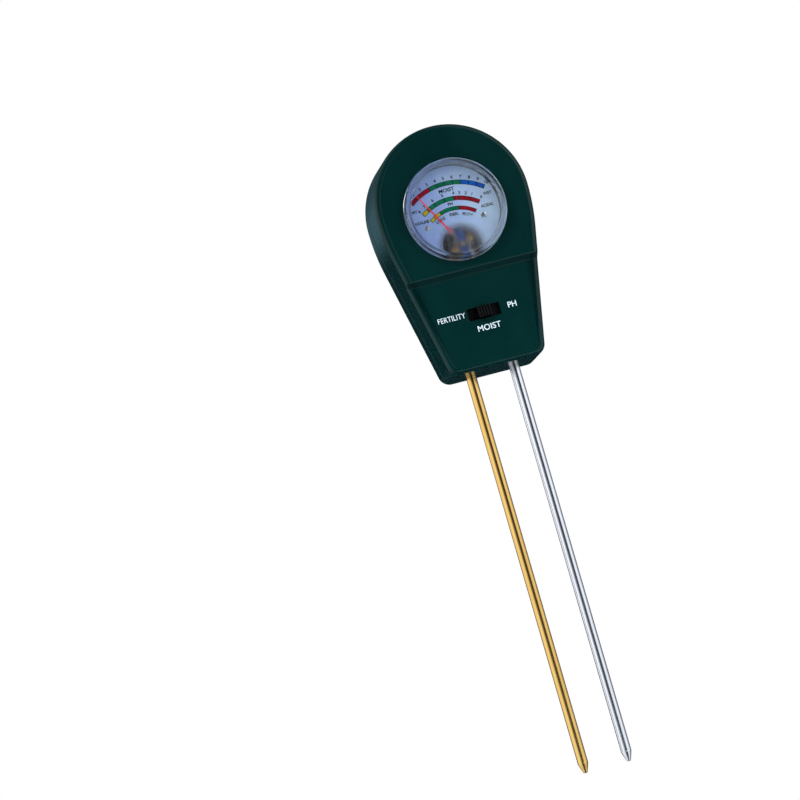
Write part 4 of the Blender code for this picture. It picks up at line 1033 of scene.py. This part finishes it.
def gradient(tree, value, stops):
    """A smooth ramp through the (position, colour) stops."""
    ramp = tree.nodes.new("ShaderNodeValToRGB")
    ramp.color_ramp.interpolation = "EASE"
    elements = ramp.color_ramp.elements
    while len(elements) < len(stops):
        elements.new(0.5)
    for element, (position, _) in zip(elements, stops):
        element.position = position
    for element, (_, colour) in zip(elements, stops):
        element.color = (*colour, 1)
    tree.links.new(value, ramp.inputs["Fac"])
    return ramp.outputs["Color"]


def wall_light(tree):
    """The surroundings' light: the walls' panels by direction, with their strength by height."""
    light = tree.nodes.new("ShaderNodeBackground")
    coords = tree.nodes.new("ShaderNodeTexCoord")
    across, depth, rise = (along(tree, coords.outputs["Generated"], axis) for axis in "XYZ")
    angle = combine(tree, "ARCTAN2", across, combine(tree, "MULTIPLY", depth, -1))
    turn = spread(tree, angle, 0.0, 1.0, -math.pi, math.pi)
    panels = gradient(tree, turn, [((degrees + 180) / 360, level) for degrees, level in WALLS])
    height = spread(tree, rise, 0.0, 1.0, -1.0, 1.0)
    front, behind = (
        gradient(tree, height, [((sine + 1) / 2, level) for sine, level in levels])
        for levels in (FRONT_LEVELS, BACK_LEVELS)
    )
    strength = tint(tree, spread(tree, depth, 0.0, 1.0, 0.5, 0.85), front, behind)
    tree.links.new(panels, light.inputs["Color"])
    tree.links.new(strength, light.inputs["Strength"])
    return light.outputs[0]


def studio():
    """A white backdrop for the camera, the studio's walls for every other ray, and four soft lights."""
    world = bpy.data.worlds.new("studio")
    scene.world = world
    world.use_nodes = True
    tree = world.node_tree
    output = tree.nodes["World Output"]
    seen = tree.nodes["Background"]
    seen.inputs["Color"].default_value = (1, 1, 1, 1)
    path = tree.nodes.new("ShaderNodeLightPath")
    chooser = tree.nodes.new("ShaderNodeMixShader")
    tree.links.new(path.outputs["Is Camera Ray"], chooser.inputs["Fac"])
    tree.links.new(wall_light(tree), chooser.inputs[1])
    tree.links.new(seen.outputs[0], chooser.inputs[2])
    tree.links.new(chooser.outputs[0], output.inputs["Surface"])
    middle = (0, 0, 0.06)
    softbox("key", (-0.9, -0.9, 1.1), middle, (0.7, 0.7), 22)
    softbox("fill", (1.2, -1.0, 0.7), middle, (0.5, 0.9), 14)
    softbox("back", (0.5, 1.3, 0.7), middle, (0.9, 0.9), 22)
    softbox(
        "floor_strip", (0.08, -0.42, -0.2), (0, 0, 0.08), (0.3, 0.12), 0.2, shines=True,
        colour=(0.7, 1.0, 0.96))


def floor():
    """A round sheet of paper on the stage, below the probes' tips."""
    mesh = bpy.data.meshes.new("floor")
    shape = bmesh.new()
    bmesh.ops.create_circle(shape, cap_ends=True, radius=3.0, segments=96)
    shape.to_mesh(mesh)
    shape.free()
    mesh.transform(Matrix.Translation((0, 0, -0.26)))
    paper = surface(
        "floor_paper", (0.86, 0.87, 0.88), 0.75, vary=0.01, patch=60.0, grain=2.0, bump=0.05)
    mesh.materials.append(paper)
    ground = bpy.data.objects.new("floor", mesh)
    scene.collection.objects.link(ground)
    ground.visible_glossy = False


def camera():
    """A long lens in front of the object and a little below it, rolled so that the object leans."""
    azimuth, elevation, roll = (math.radians(value) for value in (-11.02, -7.76, -16.03))
    target = Vector((-0.0437, -0.009, 0.05486))
    distance = 1.9
    back = Vector((
        math.sin(azimuth) * math.cos(elevation),
        -math.cos(azimuth) * math.cos(elevation),
        math.sin(elevation),
    ))
    right = Vector((0, 0, 1)).cross(back).normalized()
    up = back.cross(right)
    right, up = (
        right * math.cos(roll) + up * math.sin(roll),
        up * math.cos(roll) - right * math.sin(roll),
    )
    data = bpy.data.cameras.new("camera")
    data.sensor_width = 36.0
    data.lens = 203.013
    data.clip_start = 0.1
    data.clip_end = 20.0
    item = bpy.data.objects.new("camera", data)
    turned = Matrix((right, up, back)).transposed()
    item.matrix_world = Matrix.Translation(target + back * distance) @ turned.to_4x4()
    scene.collection.objects.link(item)
    scene.camera = item


camera()
studio()
floor()
repaint_cad()
front_case()
rear_case()
lens_cup()
dial_face()
dial_print()
panel_print()
needle_blade()
slide_knob()
screws()
rod("gold_rod", -PROBE_X, MATERIALS["gold_rod"], "gold_probe")
rod("silver_rod", PROBE_X, MATERIALS["silver_rod"], "silver_probe")
